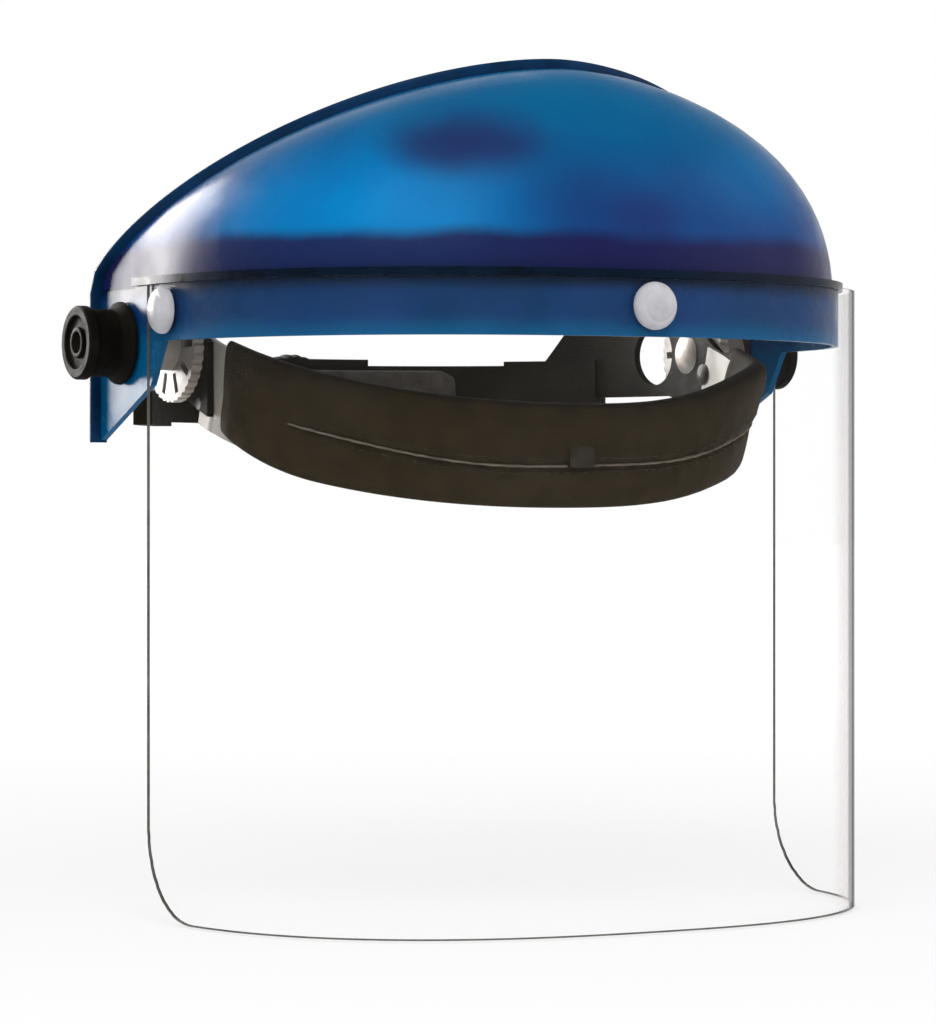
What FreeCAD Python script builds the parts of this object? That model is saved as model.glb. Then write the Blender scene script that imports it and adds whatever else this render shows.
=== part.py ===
import FreeCAD, Part
import math
import os
from FreeCAD import Vector

# Face shield on a ratchet headgear. Millimetres. +Z up, the wearer faces -Y, +X is the wearer's left.
# The origin is the middle of the axis that the shield lifts about.

# Visor: one flat sheet, bent round the crown's band.
visor_half_width = 120.0
visor_depth = 115.0
visor_fullness = 2.55
visor_thickness = 1.0
visor_height = 203.0
visor_top_z = 18.0
visor_corner_radius = 30.0
corner_overrun = 0.05

# Crown: band, ledge, dome and ear flaps, moulded in one.
crown_rear_y = 20.0
band_end_y = -21.0
band_visor_gap = 0.3
band_front_gap = 0.5
band_fullness = 2.26
band_bottom_z = 0.0
band_thickness = 2.2
ledge_gap = 0.2
ledge_height = 2.6
ledge_reach = 1.4
ledge_root = 4.0
ledge_rear_y = -9.0
dome_thickness = 2.0
dome_inset = 1.9
dome_ear_inset = 0.3
dome_sink = 1.0
dome_apex_y = -77.0
dome_apex_z = 88.0
dome_ear_z = 22.5
rim_fullness = 1.8
rim_lift = 1.03
dome_roundness = 2.05
bead_out = 3.6
bead_in = 0.6
bead_width = 2.2
ear_bottom_z = -32.0
ear_front_z = -14.0
ear_front_y = -30.0

# Snap buttons that hold the visor.
button_head_radius = 7.5
button_head_height = 4.8
button_rim_height = 0.8
button_shank_radius = 2.8
button_barb_radius = 3.6
button_barb_length = 2.0
button_height_z = 9.5
side_button_y = -34.0
button_hole_clearance = 0.2
button_washer_radius = 5.5
button_washer_thickness = 1.2

# Pivot stack at each ear.
bolt_radius = 3.0
running_clearance = 0.08
bolt_head_radius = 7.0
bolt_head_height = 2.6
bolt_neck_side = 7.0
bolt_reach_in_knob = 9.0
stack_gap = 0.1
disc_radius = 19.0
disc_thickness = 3.4
disc_slot_count = 10
disc_slot_width = 2.4
disc_slot_length = 6.84
disc_slot_start = 9.88
disc_tooth_count = 36
disc_tooth_radius = 0.9
disc_tooth_offset = 0.3
spacer_radius = 8.5
washer_radius = 11.0
washer_thickness = 0.9
knob_radius = 12.0
knob_skirt_radius = 13.5
knob_waist_radius = 11.0
knob_length = 16.0
knob_flange_length = 3.4
knob_skirt_rim = 1.2
knob_skirt_length = 3.2
knob_flange_ramp = 0.8
knob_edge = 0.6
knob_recess_radius = 8.6
knob_hub_radius = 5.0
knob_recess_depth = 1.4
knob_hub_drop = 0.3
knob_hub_wall = 1.4
knob_hub_slope = 0.6
knob_hub_depth = 1.9
nut_across_flats = 10.0
nut_thickness = 5.0
nut_inset = 1.0

# Headband over the brow.
brow_half_width = 95.5
brow_front_y = -83.6
brow_end_y = -9.0
brow_fullness = 2.3
brow_tilt_deg = 17.8
brow_lean_deg = 16.0
brow_centre_z = -12.0
brow_height = 28.0
brow_thickness = 1.6
brow_fit = 0.2
sweat_wall = 2.6
sweat_edge = 3.5
sweat_end_y = -23.0
peg_width = 9.0
peg_height = 9.0
peg_proud = 1.2

# Side arms: a flat plate at the pivot that runs back into a sleeve for the nape strap.
arm_thickness = 2.2
arm_front_y = -21.0
arm_top_z = 24.0
arm_flat_end_y = 12.0
arm_low_z = -14.5
arm_corner_z = -24.0
arm_heel_y = -4.0
arm_heel_z = -18.0
arm_shoulder_y = -9.0
arm_shoulder_z = 8.0
arm_neck_y = -6.0
arm_wing_z = 9.0
arm_wing_root_rise = 4.0
arm_wing_bend_y = 36.0
arm_wing_bend_rise = 2.0
arm_wing_end_y = 59.0
arm_sleeve_top_y = 66.0
arm_tail_y = 85.0
arm_sleeve_low_y = 57.0
arm_waist_y = 48.0
arm_window_y = 20.0
arm_window_z = 0.0
arm_window_radius = 10.5
rivet_radius = 2.0
rivet_head_radius = 3.6
rivet_head_height = 1.0
rivet_head_seat = 0.4
band_rivet_y = -14.0
band_rivet_spread = 6.0

# Nape straps: concentric arcs about a vertical axis, geared to the size knob.
ring_centre_y = 8.0
sleeve_step = 0.4
strap_thickness = 1.6
strap_gap = 0.3
strap_top_z = -2.6
strap_height = 21.4
strap_front_deg = 25.5
strap_tail_deg = 97.0
sleeve_start_deg = 24.0
sleeve_end_deg = 46.0
sleeve_wall = 1.2
sleeve_margin = 1.0
sleeve_lip_deg = 0.8
slot_first_deg = 70.0
slot_last_deg = 94.5
pinion_teeth = 8
pinion_pitch_radius = 4.0
tooth_addendum = 0.8
tooth_dedendum = 1.1
tooth_width = 1.15
tooth_flank = 0.2
tooth_bury = 0.4
rack_flank_wide = 0.22
rack_flank_narrow = 0.3
rack_backlash = 0.7
slot_clearance = 0.8

# Ratchet housing at the nape.
housing_half_deg = 14.0
housing_wall = 1.8
housing_edge = 2.2
housing_fit = 0.3
cover_thickness = 1.8
size_knob_radius = 15.0
size_knob_length = 12.0
size_knob_flutes = 14
flute_radius = 1.6
pinion_shaft_radius = 2.6
shaft_in_knob = 6.0
size_knob_chamfer = 1.2
flute_offset = 0.4
flute_start = 1.5
boss_radius = 10.5
boss_seat = 0.6
pad_thickness = 6.0
pad_half_deg = 34.0
pad_edge = -1.5

# Strap over the head.
crown_strap_width = 16.0
crown_strap_front_y = -4.0
crown_strap_thickness = 1.6
crown_strap_foot_z = 9.5
crown_strap_spring_z = 20.0
crown_strap_apex_z = 84.0
crown_strap_overlap = 20.0
strap_hole_count = 5
strap_hole_pitch = 8.0
strap_peg_radius = 2.2
strap_peg_head_radius = 4.2
strap_peg_button_radius = 3.36
strap_peg_head_height = 1.2
strap_peg_play = 0.6

# Worked out from the sizes above.
visor_bottom_z = visor_top_z - visor_height
crown_half_width = visor_half_width - visor_thickness - band_visor_gap
band_depth = visor_depth - visor_thickness - band_front_gap
band_front_y = band_end_y - band_depth
ledge_bottom_z = visor_top_z + ledge_gap
band_top_z = ledge_bottom_z + ledge_height / 2
dome_base_z = visor_top_z - dome_sink
ear_inner_x = crown_half_width - band_thickness
arm_inner_x = brow_half_width + brow_thickness / 2 + brow_fit
arm_outer_x = arm_inner_x + arm_thickness
disc_outer_x = arm_outer_x + stack_gap + disc_thickness
inner_washer_x = ear_inner_x - stack_gap - washer_thickness
outer_washer_x = crown_half_width + stack_gap
knob_base_x = outer_washer_x + washer_thickness + stack_gap
strap_inner_radius = arm_inner_x + sleeve_step
strap_outer_radius = strap_inner_radius + strap_thickness + strap_gap
strap_bottom_z = strap_top_z - strap_height
strap_centre_z = strap_top_z - strap_height / 2
slot_inner_radius = strap_inner_radius - housing_fit
slot_outer_radius = strap_outer_radius + strap_thickness + housing_fit
housing_inner_radius = slot_inner_radius - housing_wall
housing_outer_radius = slot_outer_radius + housing_wall
bore_radius = bolt_radius + running_clearance

LEFT = 1
RIGHT = -1
curve_steps = 18
through_cut = 20.0


def save(name, shape):
    """Write one sub-part to parts/name.step."""
    shape.exportStep(os.path.join("parts", name + ".step"))
    box = shape.BoundBox
    print(f"{name:22s} solids {len(shape.Solids)} valid {shape.isValid()} "
          f"{box.XLength:.1f} x {box.YLength:.1f} x {box.ZLength:.1f}")


def mirrored(shape, side):
    """The wearer's right-hand copy of a left-hand shape, or the shape itself."""
    if side == LEFT:
        return shape
    return shape.mirror(Vector(0, 0, 0), Vector(1, 0, 0))


def placed(shape, origin, direction):
    """A shape made along +Z, moved to origin and turned to point along direction."""
    moved = shape.copy()
    moved.Placement = FreeCAD.Placement(origin, FreeCAD.Rotation(Vector(0, 0, 1), direction))
    return moved


def along_x(shape, x, y=0.0, z=0.0):
    return placed(shape, Vector(x, y, z), Vector(1, 0, 0))


def turned(outline):
    """A solid of revolution about +Z from (radius, height) points."""
    points = [Vector(r, 0, h) for r, h in outline]
    face = Part.Face(Part.makePolygon(points + points[:1]))
    return face.revolve(Vector(0, 0, 0), Vector(0, 0, 1), 360)


def prism(points, direction):
    """A polygon pushed along a vector."""
    return Part.Face(Part.makePolygon(points + points[:1])).extrude(direction)


def dome_cap(radius, height):
    """A shallow spherical cap that stands on z = 0."""
    ball = (radius * radius + height * height) / (2 * height)
    start = math.degrees(math.asin((ball - height) / ball))
    cap = Part.makeSphere(ball, Vector(0, 0, 0), Vector(0, 0, 1), start, 90, 360)
    cap.translate(Vector(0, 0, height - ball))
    return cap


def half_oval(half_width, depth, fullness, start_y, steps=curve_steps):
    """Points of a full-cornered half oval from +X round the front to -X, as (x, y)."""
    points = []
    for step in range(-steps, steps + 1):
        angle = math.pi / 2 * step / steps
        x = -half_width * math.copysign(abs(math.sin(angle)) ** (2 / fullness), angle)
        points.append((x, start_y - depth * abs(math.cos(angle)) ** (2 / fullness)))
    return points


def shifted(points, distance):
    """The same plan curve moved outwards by a distance."""
    moved = []
    last = len(points) - 1
    for index, (x, y) in enumerate(points):
        before = points[max(index - 1, 0)]
        after = points[min(index + 1, last)]
        run_x, run_y = after[0] - before[0], after[1] - before[1]
        if index in (0, last):
            run_x, run_y = 0.0, 1.0 if index else -1.0
        length = math.hypot(run_x, run_y)
        moved.append((x - distance * run_y / length, y + distance * run_x / length))
    return moved


def spline(points, start=None, end=None):
    curve = Part.BSplineCurve()
    if start is None:
        curve.interpolate(points)
    else:
        curve.interpolate(Points=points, InitialTangent=start, FinalTangent=end)
    return curve.toShape()


def wall_face(outer, inner, rear_y, lift):
    """The plan of a wall between two plan curves, run straight back to rear_y.

    lift turns an (x, y) of the plan into a point in space."""
    edges = []
    for points, reverse in ((outer, False), (inner, True)):
        start = lift(points[0][0], rear_y)
        end = lift(points[-1][0], rear_y)
        path = [lift(x, y) for x, y in points]
        ahead = lift(points[0][0], rear_y - 1) - lift(points[0][0], rear_y)
        run = [spline(path, ahead.normalize(), ahead * -1)]
        if start.distanceToPoint(path[0]) > 0.001:
            run += [Part.makeLine(start, path[0]), Part.makeLine(path[-1], end)]
        edges.append((run, start, end))
    (outer_run, outer_start, outer_end), (inner_run, inner_start, inner_end) = edges
    closing = [Part.makeLine(outer_end, inner_end), Part.makeLine(inner_start, outer_start)]
    return Part.Face(Part.Wire(Part.__sortEdges__(outer_run + inner_run + closing)))


def flat(z):
    return lambda x, y: Vector(x, y, z)


def resampled(points, count):
    """Points at equal steps of length along a polyline."""
    lengths = [0.0]
    for first, second in zip(points, points[1:]):
        lengths.append(lengths[-1] + first.distanceToPoint(second))
    result = []
    piece = 0
    for step in range(count):
        target = lengths[-1] * step / (count - 1)
        while piece < len(points) - 2 and lengths[piece + 1] < target:
            piece += 1
        share = (target - lengths[piece]) / (lengths[piece + 1] - lengths[piece])
        result.append(points[piece] + (points[piece + 1] - points[piece]) * share)
    return result


def band_curve():
    return half_oval(crown_half_width, band_depth, band_fullness, band_end_y)


# Visor and its buttons

def button_places():
    """Seat and outward direction of each snap button, on the band's outer face."""
    side_x = crown_half_width
    return [
        (Vector(0, band_front_y, button_height_z), Vector(0, -1, 0)),
        (Vector(side_x, side_button_y, button_height_z), Vector(1, 0, 0)),
        (Vector(-side_x, side_button_y, button_height_z), Vector(-1, 0, 0)),
    ]


def button_seat_height(direction):
    """Distance from the band's face to the visor's outer face."""
    gap = band_front_gap if abs(direction.y) > 0.5 else band_visor_gap
    return gap + visor_thickness


def button_washer_depth(direction):
    """Depth of a washer's seat behind the band's face, clear of the band's curve."""
    sag = 0.0
    if abs(direction.x) > 0.5:
        share = (band_end_y - side_button_y + button_washer_radius) / band_depth
        sag = crown_half_width * (1 - (1 - share ** band_fullness) ** (1 / band_fullness))
    return band_thickness + stack_gap + sag


def make_visor():
    outer = half_oval(visor_half_width, visor_depth, visor_fullness, band_end_y)
    inner = shifted(outer, -visor_thickness)
    path_out = [Vector(x, y, visor_bottom_z) for x, y in outer]
    path_in = [Vector(x, y, visor_bottom_z) for x, y in inner]
    front, back = Vector(0, -1, 0), Vector(0, 1, 0)
    edges = [spline(path_out, front, back), spline(path_in, front, back)]
    edges += [Part.makeLine(path_out[0], path_in[0]), Part.makeLine(path_out[-1], path_in[-1])]
    sheet = Part.Face(Part.Wire(Part.__sortEdges__(edges))).extrude(Vector(0, 0, visor_height))
    radius = visor_corner_radius
    span = 4 * visor_half_width
    middle = Vector(-span / 2, band_end_y - radius + corner_overrun, visor_bottom_z + radius - corner_overrun)
    corner = Part.makeBox(span, radius + 1, radius + 1, middle - Vector(0, 0, radius + 1))
    round_stock = Part.makeCylinder(radius, span, middle, Vector(1, 0, 0))
    sheet = sheet.cut(corner.cut(round_stock))
    for seat, direction in button_places():
        hole = Part.makeCylinder(button_shank_radius + button_hole_clearance, through_cut)
        sheet = sheet.cut(placed(hole, seat - direction * through_cut / 2, direction))
    return sheet


def make_snap_buttons():
    buttons = []
    for seat, direction in button_places():
        head_base = button_seat_height(direction) + stack_gap
        barb_top = -button_washer_depth(direction) - button_washer_thickness - stack_gap
        shank = Part.makeCylinder(button_shank_radius, head_base - barb_top, Vector(0, 0, barb_top))
        rim = Part.makeCylinder(button_head_radius, button_rim_height, Vector(0, 0, head_base))
        cap = dome_cap(button_head_radius, button_head_height - button_rim_height)
        cap.translate(Vector(0, 0, head_base + button_rim_height))
        barb = Part.makeCone(button_shank_radius, button_barb_radius, button_barb_length,
                             Vector(0, 0, barb_top - button_barb_length))
        buttons.append(placed(shank.fuse([rim, cap, barb]).removeSplitter(), seat, direction))
    return Part.Compound(buttons)


def make_button_washers():
    washers = []
    for seat, direction in button_places():
        top = -button_washer_depth(direction)
        body = Part.makeCylinder(button_washer_radius, button_washer_thickness,
                                 Vector(0, 0, top - button_washer_thickness))
        bore = Part.makeCylinder(button_shank_radius + button_hole_clearance, 8.0, Vector(0, 0, top - 4))
        washers.append(placed(body.cut(bore), seat, direction))
    return Part.Compound(washers)


# Crown

def dome_rows(rows=9, columns=41):
    """Rows of points up the dome from its base on the band to its open rear rim."""
    plan = band_curve()
    rear = [(crown_half_width, crown_rear_y)] + plan + [(-crown_half_width, crown_rear_y)]
    base_run = resampled([Vector(x, y, 0) for x, y in rear], columns)
    flat_run = [(p.x, p.y) for p in base_run]
    base = []
    for (x, y), (in_x, in_y) in zip(flat_run, shifted(flat_run, -dome_inset)):
        forward = min(1.0, (crown_rear_y - y) / (crown_rear_y - band_end_y))
        share = (dome_ear_inset + (dome_inset - dome_ear_inset) * forward) / dome_inset
        base.append(Vector(x + (in_x - x) * share, y + (in_y - y) * share, dome_base_z))
    rim_dense = []
    for x, run in half_oval(crown_half_width - dome_ear_inset, 1.0, rim_fullness, 0.0, 60):
        forward = -run
        rim_dense.append(Vector(x, crown_rear_y - (crown_rear_y - dome_apex_y) * forward,
                                dome_ear_z + (dome_apex_z - dome_ear_z) * forward ** rim_lift))
    rim = resampled(rim_dense, columns)
    result = []
    for row in range(rows):
        angle = math.pi / 2 * row / (rows - 1)
        out = math.cos(angle) ** (2 / dome_roundness) if row < rows - 1 else 0.0
        up = math.sin(angle) ** (2 / dome_roundness)
        result.append([Vector(r.x + (b.x - r.x) * out, r.y + (b.y - r.y) * out, b.z + (r.z - b.z) * up)
                       for b, r in zip(base, rim)])
    return result


def dome_surface(rows):
    surface = Part.BSplineSurface()
    surface.interpolate(rows)
    return surface


def inner_rows(rows):
    """The rows moved inwards by the dome's wall, with the base row kept level."""
    moved = []
    for r, row in enumerate(rows):
        above, below = rows[min(r + 1, len(rows) - 1)], rows[max(r - 1, 0)]
        line = []
        for c, point in enumerate(row):
            along = row[min(c + 1, len(row) - 1)] - row[max(c - 1, 0)]
            normal = along.cross(above[c] - below[c]).normalize()
            inside = point - normal * dome_thickness
            line.append(Vector(inside.x, inside.y, dome_base_z) if r == 0 else inside)
        moved.append(line)
    return moved


def border(surface):
    """The four boundary edges of a surface, in order round it."""
    u_start, u_end, v_start, v_end = surface.bounds()
    return [surface.uIso(u_start).toShape(), surface.vIso(v_end).toShape(),
            surface.uIso(u_end).toShape(), surface.vIso(v_start).toShape()]


def make_dome():
    rows = dome_rows()
    outer = dome_surface(rows)
    inner = dome_surface(inner_rows(rows))
    faces = [outer.toShape(), inner.toShape()]
    faces += [Part.makeRuledSurface(a, b) for a, b in zip(border(outer), border(inner))]
    shell = Part.makeShell(faces)
    shell.sewShape()
    dome = Part.Solid(shell)
    dome.fix(0.01, 0.01, 0.01)
    return dome


def make_bead(surface):
    """The bead round the open rim, and on down the rear edge of both ear flaps."""
    columns = 41
    u_start, u_end, v_start, v_end = surface.bounds()
    rim = []
    for step in range(columns):
        v = v_start + (v_end - v_start) * step / (columns - 1)
        point = surface.value(u_end, v)
        normal = surface.normal(u_end, v)
        if normal.dot(point - Vector(0, point.y, 0)) < 0:
            normal = normal * -1
        rim.append((point, normal))
    drop = [ear_bottom_z + (dome_base_z - ear_bottom_z) * share for share in (0.0, 0.33, 0.66, 1.0)]
    left = [(Vector(crown_half_width, crown_rear_y, z), Vector(1, 0, 0)) for z in drop]
    right = [(Vector(-crown_half_width, crown_rear_y, z), Vector(-1, 0, 0)) for z in reversed(drop)]
    path = left + rim + right
    rails = [[], [], [], []]
    for index, (point, normal) in enumerate(path):
        ahead = path[min(index + 1, len(path) - 1)][0]
        behind = path[max(index - 1, 0)][0]
        back = (ahead - behind).cross(normal).normalize()
        if back.y < 0:
            back = back * -1
        outer = point + normal * bead_out
        inner = point - normal * (dome_thickness + bead_in)
        rails[0].append(outer + back * bead_in)
        rails[1].append(outer - back * (bead_width - bead_in))
        rails[2].append(inner - back * (bead_width - bead_in))
        rails[3].append(inner + back * bead_in)
    edges = [spline(rail) for rail in rails]
    faces = [Part.makeRuledSurface(edges[k], edges[(k + 1) % 4]) for k in range(4)]
    for end in (0, -1):
        corners = [rail[end] for rail in rails]
        faces.append(Part.Face(Part.makePolygon(corners + corners[:1])))
    shell = Part.makeShell(faces)
    shell.sewShape()
    bead = Part.Solid(shell)
    bead.fix(0.01, 0.01, 0.01)
    return bead


def ear_flap(side):
    outline = [(ear_front_y, band_bottom_z), (band_end_y, ear_front_z), (crown_rear_y, ear_bottom_z),
               (crown_rear_y, band_top_z), (ear_front_y, band_top_z)]
    plate = prism([Vector(ear_inner_x, y, z) for y, z in outline], Vector(band_thickness, 0, 0))
    return mirrored(plate, side)


def make_crown():
    plan = band_curve()
    band = wall_face(plan, shifted(plan, -band_thickness), ledge_rear_y, flat(band_bottom_z))
    band = band.extrude(Vector(0, 0, band_top_z - band_bottom_z))
    ledge = wall_face(shifted(plan, ledge_reach), shifted(plan, -ledge_root), ledge_rear_y, flat(ledge_bottom_z))
    ledge = ledge.extrude(Vector(0, 0, ledge_height))
    walls = band.fuse([ledge, ear_flap(LEFT), ear_flap(RIGHT)])
    crown = walls.fuse([make_dome(), make_bead(dome_surface(dome_rows()))])
    for seat, direction in button_places():
        hole = Part.makeCylinder(button_shank_radius + button_hole_clearance, through_cut)
        crown = crown.cut(placed(hole, seat - direction * through_cut / 2, direction))
    pivot = Part.makeCylinder(bore_radius, 4 * crown_half_width, Vector(-2 * crown_half_width, 0, 0),
                              Vector(1, 0, 0))
    return crown.cut(pivot)


def make_ear_washers():
    rings = []
    for side in (LEFT, RIGHT):
        for x in (inner_washer_x, outer_washer_x):
            ring = Part.makeCylinder(washer_radius, washer_thickness).cut(Part.makeCylinder(bore_radius, 5))
            rings.append(mirrored(along_x(ring, x), side))
    return Part.Compound(rings)


# Pivot stack

def make_pivot_bolt(side):
    reach = knob_base_x + bolt_reach_in_knob - arm_inner_x
    shank = Part.makeCylinder(bolt_radius, reach)
    half = bolt_neck_side / 2
    neck = Part.makeBox(bolt_neck_side, bolt_neck_side, arm_thickness, Vector(-half, -half, 0))
    head = dome_cap(bolt_head_radius, bolt_head_height)
    head.rotate(Vector(0, 0, 0), Vector(1, 0, 0), 180)
    head.translate(Vector(0, 0, -stack_gap))
    collar = Part.makeCylinder(bolt_neck_side / 2, stack_gap, Vector(0, 0, -stack_gap))
    return mirrored(along_x(shank.fuse([neck, head, collar]).removeSplitter(), arm_inner_x), side)


def make_pivot_disc(side):
    disc = Part.makeCylinder(disc_radius, disc_thickness)
    disc = disc.cut(Part.makeCylinder(bore_radius, disc_thickness))
    slot = Part.makeBox(disc_slot_width, disc_slot_length, disc_thickness + 2,
                        Vector(-disc_slot_width / 2, disc_slot_start, -1))
    tooth = Part.makeCylinder(disc_tooth_radius, disc_thickness + 2,
                              Vector(0, disc_radius + disc_tooth_offset, -1))
    cuts = []
    for index in range(disc_slot_count):
        cut = slot.copy()
        cut.rotate(Vector(0, 0, 0), Vector(0, 0, 1), 360 * index / disc_slot_count)
        cuts.append(cut)
    for index in range(disc_tooth_count):
        cut = tooth.copy()
        cut.rotate(Vector(0, 0, 0), Vector(0, 0, 1), 360 * index / disc_tooth_count)
        cuts.append(cut)
    return mirrored(along_x(disc.cut(Part.Compound(cuts)), arm_outer_x + stack_gap), side)


def make_pivot_spacer(side):
    start = disc_outer_x + stack_gap
    length = inner_washer_x - stack_gap - start
    body = Part.makeCylinder(spacer_radius, length).cut(Part.makeCylinder(bore_radius, length))
    return mirrored(along_x(body, start), side)


def hexagon(across_flats, height):
    radius = across_flats / math.sqrt(3)
    corners = [Vector(radius * math.cos(math.radians(60 * k)), radius * math.sin(math.radians(60 * k)), 0)
               for k in range(6)]
    return prism(corners, Vector(0, 0, height))


def make_tension_knob(side):
    flange = knob_length - knob_flange_length
    top = knob_length - knob_hub_drop
    hub_mouth = knob_hub_radius - knob_hub_wall
    outline = [(0, 0), (knob_skirt_radius, 0), (knob_skirt_radius, knob_skirt_rim),
               (knob_waist_radius, knob_skirt_length), (knob_waist_radius, flange - knob_flange_ramp),
               (knob_radius, flange), (knob_radius, knob_length - knob_edge),
               (knob_radius - knob_edge, knob_length), (knob_recess_radius, knob_length),
               (knob_recess_radius, knob_length - knob_recess_depth),
               (knob_hub_radius, knob_length - knob_recess_depth), (knob_hub_radius, top),
               (hub_mouth, top), (hub_mouth - knob_hub_slope, top - knob_hub_depth),
               (0, top - knob_hub_depth)]
    knob = turned(outline)
    pocket = hexagon(nut_across_flats + 2 * stack_gap, nut_inset + nut_thickness + stack_gap)
    bore = Part.makeCylinder(bolt_radius + 2 * stack_gap, bolt_reach_in_knob + 1)
    return mirrored(along_x(knob.cut(pocket).cut(bore), knob_base_x), side)


def make_knob_nut(side):
    nut = hexagon(nut_across_flats, nut_thickness).cut(Part.makeCylinder(bore_radius, nut_thickness))
    return mirrored(along_x(nut, knob_base_x + nut_inset), side)


# Headband

def brow_lift(rise=0.0):
    """Plan (x, y) of the headband to a point on its tilted lower plane, rise above it."""
    slope = math.tan(math.radians(brow_tilt_deg))
    lean = math.tan(math.radians(brow_lean_deg))
    return lambda x, y: Vector(x, y - rise * lean,
                               brow_centre_z - brow_height / 2 + (y - brow_end_y) * slope + rise)


def brow_curve():
    return half_oval(brow_half_width, brow_end_y - brow_front_y, brow_fullness, brow_end_y)


def brow_wall(outwards, inwards, low, high, rear_y):
    plan = brow_curve()
    face = wall_face(shifted(plan, outwards), shifted(plan, -inwards), rear_y, brow_lift(low))
    rise = high - low
    return face.extrude(Vector(0, -rise * math.tan(math.radians(brow_lean_deg)), rise))


def behind(y):
    """A block that holds everything behind a y."""
    return Part.makeBox(400, 400, 400, Vector(-200, y, -200))


def make_brow_band():
    band = brow_wall(brow_thickness / 2, brow_thickness / 2, 0, brow_height, brow_end_y)
    for side in (LEFT, RIGHT):
        for y, z in band_rivet_places():
            hole = Part.makeCylinder(rivet_radius + running_clearance, through_cut)
            band = band.cut(mirrored(along_x(hole, brow_half_width - 10, y, z), side))
    keyhole = Part.makeBox(peg_width + brow_fit, 30, peg_height + brow_fit)
    keyhole.translate(peg_corner() - Vector(brow_fit / 2, 10, brow_fit / 2))
    return band.cut(keyhole)


def peg_corner():
    """Low corner of the peg that buttons the sweatband to the brow band, on the band's outer face."""
    middle = brow_lift(brow_height / 2)(0, brow_front_y)
    return Vector(-peg_width / 2, middle.y, middle.z - peg_height / 2)


def make_sweatband():
    half = brow_thickness / 2
    skin = brow_wall(half + sweat_wall, half + sweat_wall, -sweat_edge, brow_height + sweat_edge, brow_end_y)
    core = brow_wall(half + brow_fit / 2, half + brow_fit / 2, -brow_fit / 2, brow_height + brow_fit / 2,
                     brow_end_y + 1)
    pocket = Part.makeBox(peg_width + brow_fit, 30, peg_height + brow_fit)
    pocket.translate(peg_corner() - Vector(brow_fit / 2, 15, brow_fit / 2))
    return skin.cut(core).cut(behind(sweat_end_y)).cut(pocket)


def make_sweatband_peg():
    reach = brow_thickness + 2 * sweat_wall
    return Part.makeBox(peg_width, reach + peg_proud, peg_height,
                        peg_corner() - Vector(0, reach / 2 + peg_proud, 0))


def band_rivet_places():
    """(y, z) of the two rivets that join each end of the brow band to its side arm."""
    plane = brow_lift(brow_height / 2)
    return [(band_rivet_y, plane(0, band_rivet_y).z + lift) for lift in (band_rivet_spread, -band_rivet_spread)]


# Side arms

def ring_sector(inner_radius, outer_radius, low_z, high_z, first_deg, last_deg):
    """Part of an upright ring about the nape axis. Angles run from +X towards the rear."""
    corners = [Vector(inner_radius, ring_centre_y, low_z), Vector(outer_radius, ring_centre_y, low_z),
               Vector(outer_radius, ring_centre_y, high_z), Vector(inner_radius, ring_centre_y, high_z)]
    face = Part.Face(Part.makePolygon(corners + corners[:1]))
    centre = Vector(0, ring_centre_y, 0)
    face.rotate(centre, Vector(0, 0, 1), first_deg)
    return face.revolve(centre, Vector(0, 0, 1), last_deg - first_deg)


def strap_slot(first_deg, last_deg):
    """The space that both strap layers slide in."""
    return ring_sector(slot_inner_radius, slot_outer_radius, strap_bottom_z - housing_fit,
                       strap_top_z + housing_fit, first_deg, last_deg)


def make_side_arm(side):
    outline = [(arm_front_y, arm_corner_z), (arm_front_y, 0.0), (arm_shoulder_y, arm_shoulder_z),
               (arm_neck_y, arm_top_z), (arm_flat_end_y, arm_top_z), (arm_flat_end_y, arm_low_z),
               (arm_heel_y, arm_heel_z)]
    plate = prism([Vector(arm_inner_x, y, z) for y, z in outline], Vector(arm_thickness, 0, 0))
    sweep = ring_sector(arm_inner_x, arm_outer_x, -40, 40, 0, sleeve_end_deg)
    tail_top, tail_low = strap_top_z + sleeve_margin, strap_bottom_z - sleeve_margin
    side_view = [(ring_centre_y, arm_wing_z + arm_wing_root_rise),
                 (arm_wing_bend_y, arm_wing_z + arm_wing_bend_rise), (arm_wing_end_y, arm_wing_z), (arm_sleeve_top_y, tail_top), (arm_tail_y, tail_top),
                 (arm_tail_y, tail_low), (arm_sleeve_low_y, tail_low), (arm_waist_y, arm_low_z),
                 (ring_centre_y, arm_low_z)]
    mask = prism([Vector(0, y, z) for y, z in side_view], Vector(200, 0, 0))
    window = Part.makeCylinder(arm_window_radius, 200, Vector(0, arm_window_y, arm_window_z), Vector(1, 0, 0))
    sleeve = ring_sector(slot_inner_radius - sleeve_wall, slot_outer_radius + sleeve_wall,
                         strap_bottom_z - housing_fit - sleeve_wall, strap_top_z + housing_fit + sleeve_wall,
                         sleeve_start_deg, sleeve_end_deg)
    arm = plate.fuse([sweep.common(mask), sleeve]).cut(window)
    arm = arm.cut(strap_slot(sleeve_start_deg + sleeve_lip_deg, sleeve_end_deg + 1))
    half = bolt_neck_side / 2 + running_clearance
    arm = arm.cut(Part.makeBox(20, 2 * half, 2 * half, Vector(arm_inner_x - 10, -half, -half)))
    hole = Part.makeCylinder(rivet_radius + running_clearance, through_cut)
    for y, z in band_rivet_places() + [strap_rivet_place()]:
        arm = arm.cut(along_x(hole, arm_inner_x - 10, y, z))
    return mirrored(arm, side)


def strap_rivet_place():
    """(y, z) of the rivet that joins the foot of the overhead strap to its side arm."""
    return crown_strap_front_y + crown_strap_width / 2, (crown_strap_foot_z + crown_strap_spring_z) / 2 + 2


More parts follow.
